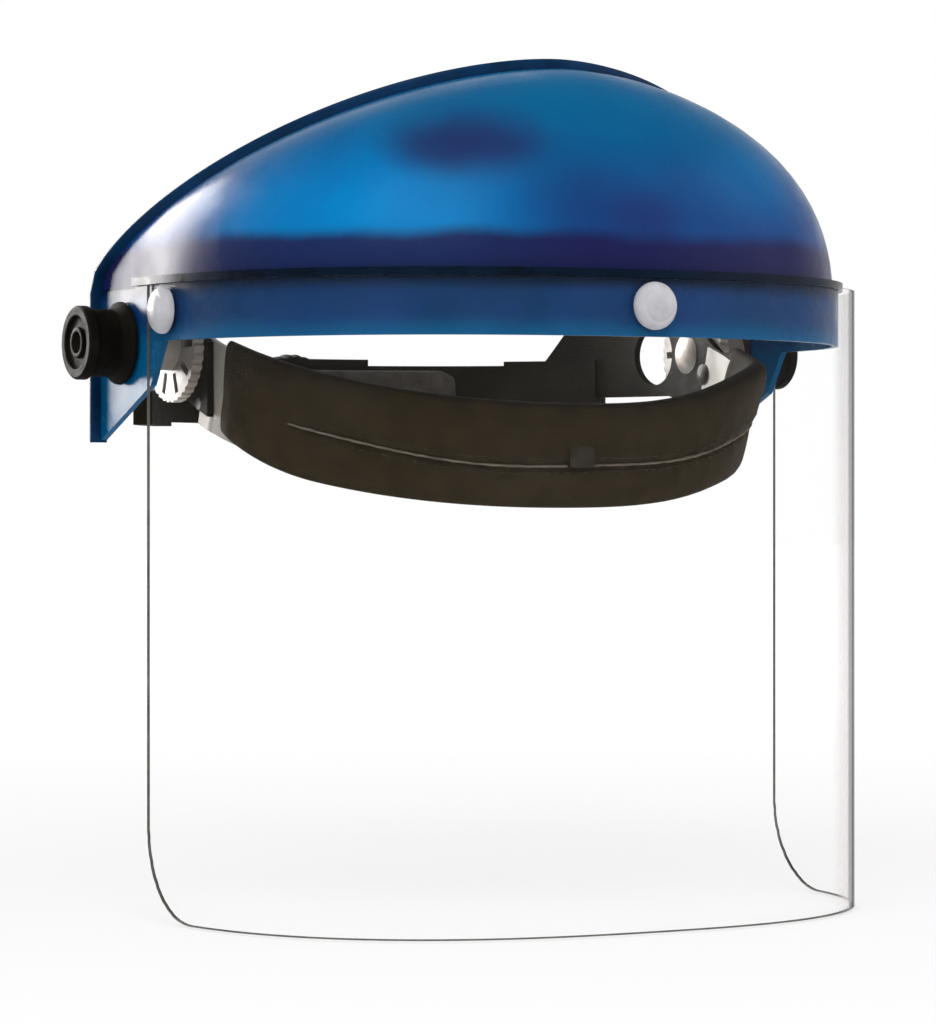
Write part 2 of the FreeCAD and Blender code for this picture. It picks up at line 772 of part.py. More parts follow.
def make_band_rivets():
    """Flush rivets with a low head inside."""
    rivets = []
    seat_x = brow_half_width - brow_thickness / 2 - rivet_head_seat
    for side in (LEFT, RIGHT):
        for y, z in band_rivet_places() + [strap_rivet_place()]:
            pin = Part.makeCylinder(rivet_radius, arm_outer_x - seat_x)
            head = dome_cap(rivet_head_radius, rivet_head_height)
            head.rotate(Vector(0, 0, 0), Vector(1, 0, 0), 180)
            rivets.append(mirrored(along_x(pin.fuse(head), seat_x, y, z), side))
    return Part.Compound(rivets)


# Overhead strap

def oval_strip(half_width, rise):
    """The half of an overhead strap on +X, seen along Y, pushed through its width."""
    low, spring = crown_strap_foot_z, crown_strap_spring_z
    y = crown_strap_front_y
    thickness = crown_strap_thickness
    outer = Part.Ellipse(Vector(0, y, spring), half_width, rise)
    inner = Part.Ellipse(Vector(0, y, spring), half_width - thickness, rise - thickness)
    solids = []
    for curve in (outer, inner):
        edge = curve.toShape()
        edge.rotate(Vector(0, y, spring), Vector(1, 0, 0), 90)
        solids.append(Part.Face(Part.Wire(edge)).extrude(Vector(0, crown_strap_width, 0)))
    ring = solids[0].cut(solids[1])
    upper = Part.makeBox(400, 400, 200, Vector(-crown_strap_overlap, -200, spring))
    foot = Part.makeBox(thickness, crown_strap_width, spring - low, Vector(half_width - thickness, y, low))
    return ring.common(upper).fuse(foot).removeSplitter()


def make_crown_strap(side):
    half_width = arm_inner_x - brow_fit
    rise = crown_strap_apex_z - crown_strap_spring_z
    if side == RIGHT:
        rise -= crown_strap_thickness + strap_gap
    strip = oval_strip(half_width, rise)
    y, z = strap_rivet_place()
    hole = Part.makeCylinder(rivet_radius + running_clearance, through_cut)
    strip = strip.cut(along_x(hole, half_width - 10, y, z))
    for x in strap_hole_places():
        strip = strip.cut(Part.makeCylinder(strap_peg_radius + running_clearance, 200.0, Vector(x, y, 0)))
    return mirrored(strip, side)


def strap_hole_places():
    """The row of adjusting holes, centred on the overlap and even about it."""
    middle = (strap_hole_count - 1) / 2
    return [(index - middle) * strap_hole_pitch for index in range(strap_hole_count)]


def make_crown_strap_pegs():
    """Two pegs through the outermost holes of the overlap."""
    pegs = []
    half_width = arm_inner_x - brow_fit
    rise = crown_strap_apex_z - crown_strap_spring_z
    y = strap_rivet_place()[0]
    for x in (strap_hole_places()[0], strap_hole_places()[-1]):
        top = crown_strap_spring_z + rise * math.sqrt(1 - (x / half_width) ** 2)
        low = top - 2 * crown_strap_thickness - strap_gap
        pin = Part.makeCylinder(strap_peg_radius, top - low + 2 * strap_peg_play,
                                Vector(x, y, low - strap_peg_play))
        head = Part.makeCylinder(strap_peg_head_radius, strap_peg_head_height,
                                 Vector(x, y, low - strap_peg_play - strap_peg_head_height))
        button = Part.makeCylinder(strap_peg_button_radius, strap_peg_head_height,
                                   Vector(x, y, top + strap_peg_play))
        pegs.append(pin.fuse([head, button]))
    return Part.Compound(pegs)


# Nape straps and ratchet

def make_nape_strap(side):
    inner = strap_inner_radius if side == LEFT else strap_outer_radius
    outer = inner + strap_thickness
    middle = inner + strap_thickness / 2
    strap = ring_sector(inner, outer, strap_bottom_z, strap_top_z, strap_front_deg, strap_tail_deg)
    outside = pinion_pitch_radius + tooth_addendum + slot_clearance
    tip = pinion_pitch_radius - tooth_addendum
    root = pinion_pitch_radius + tooth_dedendum
    low, high = (-outside, tip) if side == LEFT else (-tip, outside)
    slot = ring_sector(inner - 1, outer + 1, strap_centre_z + low, strap_centre_z + high,
                       slot_first_deg, slot_last_deg)
    pitch_deg = math.degrees(2 * math.pi / pinion_teeth * pinion_pitch_radius / middle)
    up = 1 if side == LEFT else -1
    wide = (tooth_width + rack_backlash) / 2 + rack_flank_wide
    narrow = (tooth_width + rack_backlash) / 2 - rack_flank_narrow
    gaps = []
    count = int((90 - slot_first_deg) / pitch_deg)
    for index in range(-2, count):
        corners = [(-wide, tip - tooth_bury), (wide, tip - tooth_bury), (narrow, root), (-narrow, root)]
        gap = prism([Vector(middle - 5, ring_centre_y + across, strap_centre_z + up * rise)
                     for across, rise in corners], Vector(10, 0, 0))
        gap.rotate(Vector(0, ring_centre_y, 0), Vector(0, 0, 1), 90 - index * pitch_deg)
        gaps.append(gap)
    strap = strap.cut(slot).cut(Part.Compound(gaps))
    return mirrored(strap, side)


def pinion_axis_y(radius):
    """y of the pinion's axis at a ring radius."""
    return ring_centre_y + radius


def toward_rear(shape, y):
    """A shape made along +Z, laid along +Y on the pinion's axis."""
    return placed(shape, Vector(0, y, strap_centre_z), Vector(0, 1, 0))


def make_ratchet_pinion():
    length = slot_outer_radius - slot_inner_radius - 2 * stack_gap
    root = pinion_pitch_radius - tooth_dedendum
    tip = pinion_pitch_radius + tooth_addendum
    gear = Part.makeCylinder(root, length)
    half_root, half_tip = tooth_width / 2 + tooth_flank, tooth_width / 2 - tooth_flank
    for index in range(pinion_teeth):
        tooth = prism([Vector(-half_root, root - tooth_bury, 0), Vector(half_root, root - tooth_bury, 0),
                       Vector(half_tip, tip, 0), Vector(-half_tip, tip, 0)], Vector(0, 0, length))
        tooth.rotate(Vector(0, 0, 0), Vector(0, 0, 1), 360 * index / pinion_teeth)
        gear = gear.fuse(tooth)
    shaft = Part.makeCylinder(pinion_shaft_radius, length + housing_wall + cover_thickness + shaft_in_knob)
    gear = gear.fuse(shaft).removeSplitter()
    return toward_rear(gear, pinion_axis_y(slot_inner_radius + stack_gap))


def make_ratchet_housing():
    body = ring_sector(housing_inner_radius, slot_outer_radius, strap_bottom_z - housing_edge,
                       strap_top_z + housing_edge, 90 - housing_half_deg, 90 + housing_half_deg)
    return body.cut(strap_slot(80 - housing_half_deg, 100 + housing_half_deg))


def make_ratchet_cover():
    cover = ring_sector(slot_outer_radius + stack_gap, housing_outer_radius, strap_bottom_z - housing_edge,
                        strap_top_z + housing_edge, 90 - housing_half_deg, 90 + housing_half_deg)
    boss = Part.makeCylinder(boss_radius, cover_thickness)
    boss = toward_rear(boss, pinion_axis_y(housing_outer_radius - boss_seat))
    cover = cover.fuse(boss)
    bore = Part.makeCylinder(pinion_shaft_radius + running_clearance, 40)
    return cover.cut(toward_rear(bore, pinion_axis_y(slot_inner_radius)))


def make_ratchet_knob():
    knob = Part.makeCylinder(size_knob_radius, size_knob_length)
    knob = knob.makeChamfer(size_knob_chamfer, [knob.Edges[0]])
    flutes = []
    for index in range(size_knob_flutes):
        flute = Part.makeCylinder(flute_radius, size_knob_length,
                                  Vector(0, size_knob_radius + flute_offset, flute_start))
        flute.rotate(Vector(0, 0, 0), Vector(0, 0, 1), 360 * index / size_knob_flutes)
        flutes.append(flute)
    knob = knob.cut(Part.Compound(flutes))
    start = pinion_axis_y(housing_outer_radius - boss_seat) + cover_thickness + running_clearance
    shaft_end = pinion_axis_y(slot_outer_radius - stack_gap) + housing_wall + cover_thickness + shaft_in_knob
    socket = Part.makeCylinder(pinion_shaft_radius + running_clearance, shaft_end - start + stack_gap)
    return toward_rear(knob.cut(socket), start)


def make_nape_pad():
    return ring_sector(housing_inner_radius - stack_gap - pad_thickness, housing_inner_radius - stack_gap,
                       strap_bottom_z - pad_edge, strap_top_z + pad_edge, 90 - pad_half_deg, 90 + pad_half_deg)


def main():
    os.makedirs("parts", exist_ok=True)
    save("visor", make_visor())
    save("crown", make_crown())
    save("snap_buttons", make_snap_buttons())
    save("button_washers", make_button_washers())
    save("ear_washers", make_ear_washers())
    save("brow_band", make_brow_band())
    save("sweatband", make_sweatband())
    save("sweatband_peg", make_sweatband_peg())
    save("band_rivets", make_band_rivets())
    save("crown_strap_pegs", make_crown_strap_pegs())
    for name, side in (("left", LEFT), ("right", RIGHT)):
        save("pivot_bolt_" + name, make_pivot_bolt(side))
        save("pivot_disc_" + name, make_pivot_disc(side))
        save("pivot_spacer_" + name, make_pivot_spacer(side))
        save("tension_knob_" + name, make_tension_knob(side))
        save("knob_nut_" + name, make_knob_nut(side))
        save("side_arm_" + name, make_side_arm(side))
        save("crown_strap_" + name, make_crown_strap(side))
        save("nape_strap_" + name, make_nape_strap(side))
    save("ratchet_pinion", make_ratchet_pinion())
    save("ratchet_housing", make_ratchet_housing())
    save("ratchet_cover", make_ratchet_cover())
    save("ratchet_knob", make_ratchet_knob())
    save("nape_pad", make_nape_pad())


main()
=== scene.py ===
import math

import bmesh
import bpy
from mathutils import Matrix, Vector, noise


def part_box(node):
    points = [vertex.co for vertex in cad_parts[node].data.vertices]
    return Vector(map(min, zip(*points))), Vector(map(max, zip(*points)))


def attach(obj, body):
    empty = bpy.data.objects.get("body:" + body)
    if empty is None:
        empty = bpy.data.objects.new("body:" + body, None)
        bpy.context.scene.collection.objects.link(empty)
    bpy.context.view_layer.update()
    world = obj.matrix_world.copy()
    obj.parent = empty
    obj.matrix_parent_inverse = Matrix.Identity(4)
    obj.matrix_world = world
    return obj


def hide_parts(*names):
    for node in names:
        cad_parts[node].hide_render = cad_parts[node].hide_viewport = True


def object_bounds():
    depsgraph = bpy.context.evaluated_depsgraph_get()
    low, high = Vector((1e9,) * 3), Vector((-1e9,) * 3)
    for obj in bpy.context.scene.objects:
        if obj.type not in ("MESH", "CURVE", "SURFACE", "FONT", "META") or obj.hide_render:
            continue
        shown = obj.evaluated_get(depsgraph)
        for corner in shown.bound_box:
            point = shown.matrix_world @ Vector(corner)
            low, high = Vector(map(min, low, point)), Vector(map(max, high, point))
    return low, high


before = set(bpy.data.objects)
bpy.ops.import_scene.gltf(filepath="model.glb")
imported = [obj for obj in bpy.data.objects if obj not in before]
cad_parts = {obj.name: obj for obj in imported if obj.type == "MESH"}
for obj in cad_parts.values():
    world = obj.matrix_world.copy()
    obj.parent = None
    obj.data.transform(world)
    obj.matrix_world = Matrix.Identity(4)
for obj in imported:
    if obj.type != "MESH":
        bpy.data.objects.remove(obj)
cadLow, cadHigh = [list(corner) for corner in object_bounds()]
scene = bpy.context.scene
mm = 0.001
print("frame loaded:", len(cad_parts), "nodes")


# Helpers for shader and geometry trees

def feed(tree, node, values):
    for key, value in values.items():
        if isinstance(value, bpy.types.NodeSocket):
            tree.links.new(value, node.inputs[key])
        else:
            node.inputs[key].default_value = value


def addNode(tree, kind, values=None, options=None):
    node = tree.nodes.new(kind)
    for key, value in (options or {}).items():
        setattr(node, key, value)
    feed(tree, node, values or {})
    return node


def mathNode(tree, operation, first, second):
    return addNode(tree, "ShaderNodeMath", {0: first, 1: second}, {"operation": operation}).outputs[0]


def vectorNode(tree, operation, values):
    return addNode(tree, "ShaderNodeVectorMath", values, {"operation": operation}).outputs


def rgb(colour):
    return (*colour, 1.0)


def newMaterial(name):
    material = bpy.data.materials.new(name)
    material.use_nodes = True
    tree = material.node_tree
    surface = tree.nodes["Principled BSDF"]
    place = tree.nodes.new("ShaderNodeTexCoord").outputs["Object"]
    return material, tree, surface, place


def noiseNode(tree, place, scale, detail=4.0, rough=0.55):
    return addNode(tree, "ShaderNodeTexNoise",
                   {"Vector": place, "Scale": scale, "Detail": detail, "Roughness": rough}).outputs["Fac"]


# A straight map. The default range is the one that noise mostly fills
def spread(tree, value, first, last, low=0.3, high=0.7, shape="LINEAR"):
    return addNode(tree, "ShaderNodeMapRange", {"Value": value, "From Min": low, "From Max": high,
                                                "To Min": first, "To Max": last},
                   {"interpolation_type": shape}).outputs["Result"]


# The same with soft ends
def ranged(tree, value, low, high, first, last):
    return spread(tree, value, first, last, low, high, "SMOOTHSTEP")


def blendColour(tree, factor, first, second):
    colours = [c if isinstance(c, bpy.types.NodeSocket) else rgb(c) for c in (first, second)]
    node = addNode(tree, "ShaderNodeMix", {0: factor, 6: colours[0], 7: colours[1]}, {"data_type": "RGBA"})
    return node.outputs[2]


def bumpFrom(tree, surface, height, distance, strength=1.0, below=None):
    values = {"Height": height, "Distance": distance, "Strength": strength}
    if below is not None:
        values["Normal"] = below
    bump = addNode(tree, "ShaderNodeBump", values).outputs["Normal"]
    tree.links.new(bump, surface.inputs["Normal"])
    return bump


# Finishes

mouldedPlastics = {
    "knobBlack": {"colour": (0.0035, 0.0028, 0.002), "worn": (0.011, 0.009, 0.0065), "rough": (0.44, 0.60),
                  "grain": 2600, "depth": 0.00006, "mottle": 60, "gloss": 0.025},
    "strapDark": {"colour": (0.0085, 0.0068, 0.0040), "worn": (0.0190, 0.0160, 0.0105), "rough": (0.55, 0.72),
                  "grain": 1800, "depth": 0.00008, "mottle": 45, "gloss": 0.05},
    "discGrey": {"colour": (0.30, 0.26, 0.21), "worn": (0.48, 0.43, 0.37), "rough": (0.35, 0.52),
                 "grain": 1900, "depth": 0.00005, "mottle": 80, "gloss": 0.4},
    "bandGrey": {"colour": (0.27, 0.245, 0.21), "worn": (0.42, 0.385, 0.335), "rough": (0.42, 0.58),
                 "grain": 1500, "depth": 0.00006, "mottle": 50, "gloss": 0.4},
    "buttonWhite": {"colour": (0.43, 0.43, 0.46), "worn": (0.58, 0.58, 0.61), "rough": (0.20, 0.34),
                    "grain": 2400, "depth": 0.00002, "mottle": 130, "gloss": 0.12},
    "washerFibre": {"colour": (0.030, 0.022, 0.018), "worn": (0.075, 0.060, 0.050), "rough": (0.60, 0.80),
                    "grain": 3200, "depth": 0.00010, "mottle": 220, "gloss": 0.1},
    "pegBlack": {"colour": (0.013, 0.010, 0.006), "worn": (0.036, 0.028, 0.017), "rough": (0.42, 0.60),
                 "grain": 2200, "depth": 0.00006, "mottle": 150, "gloss": 0.15},
}


def mouldedPlastic(name, look):
    material, tree, surface, place = newMaterial(name)
    mottle = spread(tree, noiseNode(tree, place, look["mottle"], 5.0), 0.0, 1.0)
    feed(tree, surface, {
        "Base Color": blendColour(tree, mottle, look["colour"], look["worn"]),
        "Roughness": spread(tree, noiseNode(tree, place, look["mottle"] * 2.3), *look["rough"]),
        "Specular IOR Level": look["gloss"]})
    bumpFrom(tree, surface, noiseNode(tree, place, look["grain"], 2.0), look["depth"])
    return material


metals = {
    "boltSteel": {"colour": (0.34, 0.32, 0.29), "tarnish": (0.20, 0.185, 0.165), "rough": (0.42, 0.58)},
    "nutBrass": {"colour": (0.66, 0.47, 0.18), "tarnish": (0.40, 0.27, 0.10), "rough": (0.26, 0.44)},
}


# Fine turning rings round the pivot axis
def turnedMetal(name, look):
    material, tree, surface, place = newMaterial(name)
    tarnish = spread(tree, noiseNode(tree, place, 220, 6.0), 0.0, 1.0)
    rings = addNode(tree, "ShaderNodeTexWave", {"Vector": place, "Scale": 900.0, "Distortion": 0.6},
                    {"wave_type": "RINGS", "rings_direction": "X"}).outputs["Fac"]
    feed(tree, surface, {
        "Base Color": blendColour(tree, tarnish, look["colour"], look["tarnish"]),
        "Roughness": spread(tree, rings, *look["rough"], 0.0, 1.0), "Metallic": 1.0})
    bumpFrom(tree, surface, rings, 0.00002)
    return material


crownLook = {
    "bright": (0.0003, 0.225, 0.565), "blue": (0.0004, 0.111, 0.258), "deep": (0.007, 0.044, 0.190),
    # on this line: the near black of the painted shade over the ledge, the dark blue of the painted shadow
    # patches, and the band's own blue
    "paintedShadeIndigo": (0.012, 0.010, 0.062), "spot": (0.016, 0.016, 0.080), "bandBlue": (0.004, 0.036, 0.105),
    "edge": (0.0006, 0.0030, 0.0080),
    # each spot: centre, radius of its core, radius where it ends, strength
    # painted light: bright patches where the lamps would shine through the wall, in the colour bright
    "paintedGlowSpots": [((-0.084, -0.105, 0.035), 0.004, 0.074, 0.95),
                  ((-0.102, -0.072, 0.038), 0.004, 0.046, 0.50),
                  ((0.052, -0.118, 0.050), 0.004, 0.036, 0.22)],
    # painted shadows: dark patches where the straps and parts behind would shade the wall, in the colour spot
    "paintedShadowSpots": [((-0.060, -0.107, 0.0625), 0.003, 0.026, 0.80),
                  ((-0.044, -0.115, 0.0610), 0.003, 0.026, 0.75),
                  ((0.003, -0.132, 0.038), 0.004, 0.022, 0.50),
                  ((-0.020, -0.129, 0.042), 0.004, 0.028, 0.25),
                  ((-0.118, -0.040, 0.024), 0.004, 0.026, 0.3)],
    "flatten": 1.5, "driftScale": 22.0, "drift": 0.016,  # the spots are wider than high, with wandering edges
    # heights of the slow change, darker towards the bottom, and of the quick change to painted shade over the
    # ledge, then those of the painted glow at the band's foot and the painted shade under the ledge
    "climb": (0.036, 0.074), "shade": (0.0285, 0.0345),
    "bandTop": 0.0183, "paintedBandGlow": (-0.002, 0.0075), "bandShade": (0.0125, 0.0180),
    "sheen": (0.22, 0.34), "gloss": 0.045,
}


# Tinted see-through moulding, with light and shade painted into its colour: painted glow where the wall would
# be lit through, painted shadows of the parts behind it, and near black painted shade over the ledge and
# under it on the band
def crownBlue():
    look = crownLook
    material, tree, surface, place = newMaterial("crownBlue")
    cloud = noiseNode(tree, place, 26, 3.0)
    drift = addNode(tree, "ShaderNodeTexNoise", {"Vector": place, "Scale": look["driftScale"], "Detail": 2.0})
    shift = vectorNode(tree, "SUBTRACT", {0: drift.outputs["Color"], 1: (0.5, 0.5, 0.5)})["Vector"]
    shift = vectorNode(tree, "SCALE", {0: shift, "Scale": look["drift"]})["Vector"]
    moved = vectorNode(tree, "ADD", {0: place, 1: shift})["Vector"]
    squat = vectorNode(tree, "MULTIPLY", {0: moved, 1: (1.0, 1.0, look["flatten"])})["Vector"]
    height = addNode(tree, "ShaderNodeSeparateXYZ", {"Vector": place}).outputs["Z"]
    body = blendColour(tree, ranged(tree, height, *look["climb"], 0.12, 1.0), look["deep"], look["blue"])
    # first the painted glow patches, then the painted shadow patches
    for spots, colour in ((look["paintedGlowSpots"], look["bright"]), (look["paintedShadowSpots"], look["spot"])):
        for centre, core, edge, share in spots:
            middle = (centre[0], centre[1], centre[2] * look["flatten"])
            away = vectorNode(tree, "DISTANCE", {0: squat, 1: middle})["Value"]
            body = blendColour(tree, ranged(tree, away, core, edge, share, 0.0), body, colour)
    body = blendColour(tree, spread(tree, cloud, 0.0, 0.22), body, look["deep"])
    wave = mathNode(tree, "ADD", spread(tree, cloud, -0.0012, 0.0012), height)
    # painted shade: the wall turns near black just over the ledge
    body = blendColour(tree, ranged(tree, wave, *look["shade"], 0.92, 0.0), body, look["paintedShadeIndigo"])
    tone = spread(tree, noiseNode(tree, place, 30, 3.0), 0.0, 0.6)
    band = blendColour(tree, tone, look["bandBlue"], look["deep"])
    # painted glow: the band's foot lighter, as if lit through its edge
    band = blendColour(tree, ranged(tree, wave, *look["paintedBandGlow"], 0.8, 0.0), band, look["blue"])
    # painted shade under the ledge: the band's top darkens towards the colour edge
    band = blendColour(tree, ranged(tree, height, *look["bandShade"], 0.0, 0.75), band, look["edge"])
    onBand = mathNode(tree, "LESS_THAN", height, look["bandTop"])
    feed(tree, surface, {
        "Base Color": blendColour(tree, onBand, body, band),
        "Roughness": spread(tree, noiseNode(tree, place, 90), *look["sheen"]),
        "Specular IOR Level": look["gloss"]})
    bumpFrom(tree, surface, noiseNode(tree, place, 42, 2.0), 0.00010, 0.5)
    return material


# The ledge and the rim bead: between the crown's edge colour and its band colour
def beadBlue(name, low, high):
    material, tree, surface, place = newMaterial(name)
    tone = spread(tree, noiseNode(tree, place, 70, 4.0), low, high)
    feed(tree, surface, {
        "Base Color": blendColour(tree, tone, crownLook["edge"], crownLook["bandBlue"]),
        "Roughness": spread(tree, noiseNode(tree, place, 140), 0.22, 0.36), "Specular IOR Level": 0.05})
    return material


# The facing ranges run from 0 face on to 1 edge on
visorLook = {
    "faceOn": 0.002, "reflectTint": (1.0, 0.96, 0.95), "reflectShare": 0.36, "reflectFacing": (0.64, 0.78),
    "tint": (0.022, 0.018, 0.014), "grazing": 0.93, "limbFacing": (0.82, 0.87), "tintFacing": (0.81, 0.86),
    "gloss": 0.006, "edge": (0.070, 0.060, 0.048), "edgeWorn": (0.16, 0.15, 0.13),
}


# Clear sheet: hardly there face on, then a pale painted reflection at a slant, then dark where the eye runs
# along it
def visorClear():
    look = visorLook
    material, tree, surface, place = newMaterial("visorClear")
    facing = addNode(tree, "ShaderNodeLayerWeight", {"Blend": 0.5}).outputs["Facing"]
    # painted reflection: a pale tint shown more at a slant, standing for the white room mirrored in the sheet
    paintedReflection = spread(tree, facing, look["faceOn"], look["reflectShare"], *look["reflectFacing"])
    limb = spread(tree, facing, 0.0, look["grazing"], *look["limbFacing"])
    tinted = spread(tree, facing, 0.0, 1.0, *look["tintFacing"])
    smears = spread(tree, noiseNode(tree, place, 30, 5.0), 0.0, 0.003)
    feed(tree, surface, {
        "Alpha": mathNode(tree, "ADD", mathNode(tree, "MAXIMUM", limb, paintedReflection), smears),
        "Base Color": blendColour(tree, tinted, look["reflectTint"], look["tint"]),
        "Roughness": spread(tree, noiseNode(tree, place, 300, 6.0), 0.02, 0.06),
        "Specular IOR Level": look["gloss"]})
    return material


def visorEdge():
    material, tree, surface, place = newMaterial("visorEdge")
    tone = spread(tree, noiseNode(tree, place, 120, 4.0), 0.0, 1.0)
    feed(tree, surface, {
        "Base Color": blendColour(tree, tone, visorLook["edge"], visorLook["edgeWorn"]),
        "Roughness": spread(tree, noiseNode(tree, place, 500), 0.25, 0.4)})
    return material


leatherLook = {"colour": (0.0215, 0.0145, 0.0050), "worn": (0.0370, 0.0270, 0.0125), "rough": (0.68, 0.88),
               "mottle": 130, "pebble": 1100, "crease": 130, "fuzz": 0.02, "gloss": 0.06}


def leatherette():
    look = leatherLook
    material, tree, surface, place = newMaterial("sweatLeather")
    wear = spread(tree, noiseNode(tree, place, look["mottle"], 8.0, 0.7), 0.0, 1.0, 0.42, 0.72)
    pebble = addNode(tree, "ShaderNodeTexVoronoi", {"Vector": place, "Scale": look["pebble"]},
                     {"feature": "SMOOTH_F1"}).outputs["Distance"]
    crease = noiseNode(tree, place, look["crease"], 6.0, 0.65)
    feed(tree, surface, {
        "Base Color": blendColour(tree, wear, look["colour"], look["worn"]),
        "Roughness": spread(tree, crease, *look["rough"]), "Specular IOR Level": look["gloss"],
        "Sheen Weight": look["fuzz"], "Sheen Roughness": 0.6})
    folds = bumpFrom(tree, surface, crease, 0.0009, 0.5)
    bumpFrom(tree, surface, pebble, 0.00018, 0.7, folds)
    return material


fabrics = {
    "padFoam": {"colour": (0.020, 0.017, 0.014), "worn": (0.055, 0.048, 0.040), "weave": 1400},
    "seamFoam": {"colour": (0.10, 0.078, 0.052), "worn": (0.27, 0.22, 0.165), "weave": 1700},
    "threadBrown": {"colour": (0.018, 0.013, 0.008), "worn": (0.042, 0.032, 0.021), "weave": 3200},
}


def wovenFabric(name, look):
    material, tree, surface, place = newMaterial(name)
    tone = spread(tree, noiseNode(tree, place, 150, 5.0), 0.0, 1.0)
    wave = {"Vector": place, "Scale": look["weave"] / 6.3, "Distortion": 1.2}
    threads = [addNode(tree, "ShaderNodeTexWave", wave, {"bands_direction": axis}) for axis in "ZX"]
    weave = mathNode(tree, "MULTIPLY", *[thread.outputs["Fac"] for thread in threads])
    bumpFrom(tree, surface, weave, 0.00018)
    feed(tree, surface, {
        "Base Color": blendColour(tree, tone, look["colour"], look["worn"]),
        "Roughness": spread(tree, weave, 0.75, 0.95, 0.0, 1.0),
        "Sheen Weight": 0.1, "Specular IOR Level": 0.12})
    return material


finish = {name: mouldedPlastic(name, look) for name, look in mouldedPlastics.items()}
finish.update({name: turnedMetal(name, look) for name, look in metals.items()})
finish.update({name: wovenFabric(name, look) for name, look in fabrics.items()})
finish.update({
    "crownBlue": crownBlue(), "beadBlue": beadBlue("beadBlue", 0.0, 0.22),
    "rimBlue": beadBlue("rimBlue", 0.55, 1.0), "visorClear": visorClear(), "visorEdge": visorEdge(),
    "sweatLeather": leatherette(),
})
print("finishes made:", len(finish))


# Mesh helpers

def addObject(name, data):
    obj = bpy.data.objects.new(name, data)
    scene.collection.objects.link(obj)
    return obj


def addPiece(name, mesh, body):
    piece = addObject(name, mesh)
    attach(piece, body)
    return piece


def makePiece(name, points, faces, materials, body, smoothDeg=35, faceFinish=None):
    mesh = bpy.data.meshes.new(name)
    mesh.from_pydata([tuple(p) for p in points], [], faces)
    for material in materials:
        mesh.materials.append(finish[material])
    if faceFinish:
        for face, index in zip(mesh.polygons, faceFinish):
            face.material_index = index
    tidy = bmesh.new()
    tidy.from_mesh(mesh)
    bmesh.ops.remove_doubles(tidy, verts=tidy.verts, dist=1e-6)
    bmesh.ops.recalc_face_normals(tidy, faces=tidy.faces)
    tidy.to_mesh(mesh)
    tidy.free()
    for face in mesh.polygons:
        face.use_smooth = True
    mesh.set_sharp_from_angle(angle=math.radians(smoothDeg))
    return addPiece(name, mesh, body)


def softenEdges(piece, width, segments=2, angleDeg=35):
    bevel = piece.modifiers.new("softEdges", "BEVEL")
    bevel.width = width
    bevel.segments = segments
    bevel.limit_method = "ANGLE"
    bevel.angle_limit = math.radians(angleDeg)
    bevel.harden_normals = False


def roundOver(piece):
    smooth = piece.modifiers.new("roundOver", "SUBSURF")
    smooth.levels = 1
    smooth.render_levels = 1


# Quads between rings of points, with flat ends
def sweptFaces(count, ringSize, offset):
    faces = []
    for ring in range(count - 1):
        here, there = offset + ring * ringSize, offset + (ring + 1) * ringSize
        for k in range(ringSize):
            nextK = (k + 1) % ringSize
            faces.append((here + k, here + nextK, there + nextK, there + k))
    faces.append(tuple(offset + k for k in range(ringSize)))
    faces.append(tuple(offset + (count - 1) * ringSize + k for k in reversed(range(ringSize))))
    return faces


def addSweep(points, faces, rings):
    offset = len(points)
    for ring in rings:
        points.extend(ring)
    faces.extend(sweptFaces(len(rings), len(rings[0]), offset))


def sweptPiece(name, rings, material, body):
    points, faces = [], []
    addSweep(points, faces, rings)
    return makePiece(name, points, faces, [material], body, 60)


# A full-cornered half oval from the wearer's left round the front to the right
def ovalPlan(halfWidth, depth, fullness, startY, steps):
    plan = []
    for step in range(-steps, steps + 1):
        angle = math.pi / 2 * step / steps
        x = -halfWidth * squared(math.sin(angle), 2 / fullness)
        plan.append(Vector((x, startY - depth * abs(math.cos(angle)) ** (2 / fullness))))
    return plan


# A sine or cosine pushed outwards, so that a circle becomes squarer as power falls
def squared(value, power):
    return math.copysign(abs(value) ** power, value)


# Points at equal steps along a path
def evenly(path, count):
    lengths = [0.0]
    for first, second in zip(path, path[1:]):
        lengths.append(lengths[-1] + (second - first).length)
    result, piece = [], 0
    for step in range(count):
        target = lengths[-1] * step / (count - 1)
        while piece < len(path) - 2 and lengths[piece + 1] < target:
            piece += 1
        share = (target - lengths[piece]) / (lengths[piece + 1] - lengths[piece])
        result.append(path[piece].lerp(path[piece + 1], min(max(share, 0.0), 1.0)))
    return result


def outwardNormals(plan):
    normals = []
    for index in range(len(plan)):
        run = plan[min(index + 1, len(plan) - 1)] - plan[max(index - 1, 0)]
        normals.append(Vector((-run.y, run.x)).normalized())
    return normals


# Points and faces of a turned shape: profile is (radius, height) pairs, height along axis
def lathe(profile, origin, axis, segments=64):
    turn = Vector((0, 0, 1)).rotation_difference(Vector(axis)).to_matrix()
    origin = Vector(origin)
    points, faces, rings = [], [], []
    for radius, height in profile:
        if radius < 1e-9:
            rings.append([len(points)])
            points.append(origin + turn @ Vector((0, 0, height)))
            continue
        rings.append([len(points) + k for k in range(segments)])
        for k in range(segments):
            angle = 2 * math.pi * k / segments
            spot = Vector((radius * math.cos(angle), radius * math.sin(angle), height))
            points.append(origin + turn @ spot)
    for lower, upper in zip(rings, rings[1:]):
        for k in range(segments):
            nextK = (k + 1) % segments
            if len(lower) == 1:
                faces.append((lower[0], upper[nextK], upper[k]))
            elif len(upper) == 1:
                faces.append((lower[k], lower[nextK], upper[0]))
            else:
                faces.append((lower[k], lower[nextK], upper[nextK], upper[k]))
    return points, faces


# Crown: dome, band, ledge, ear flaps and rim bead

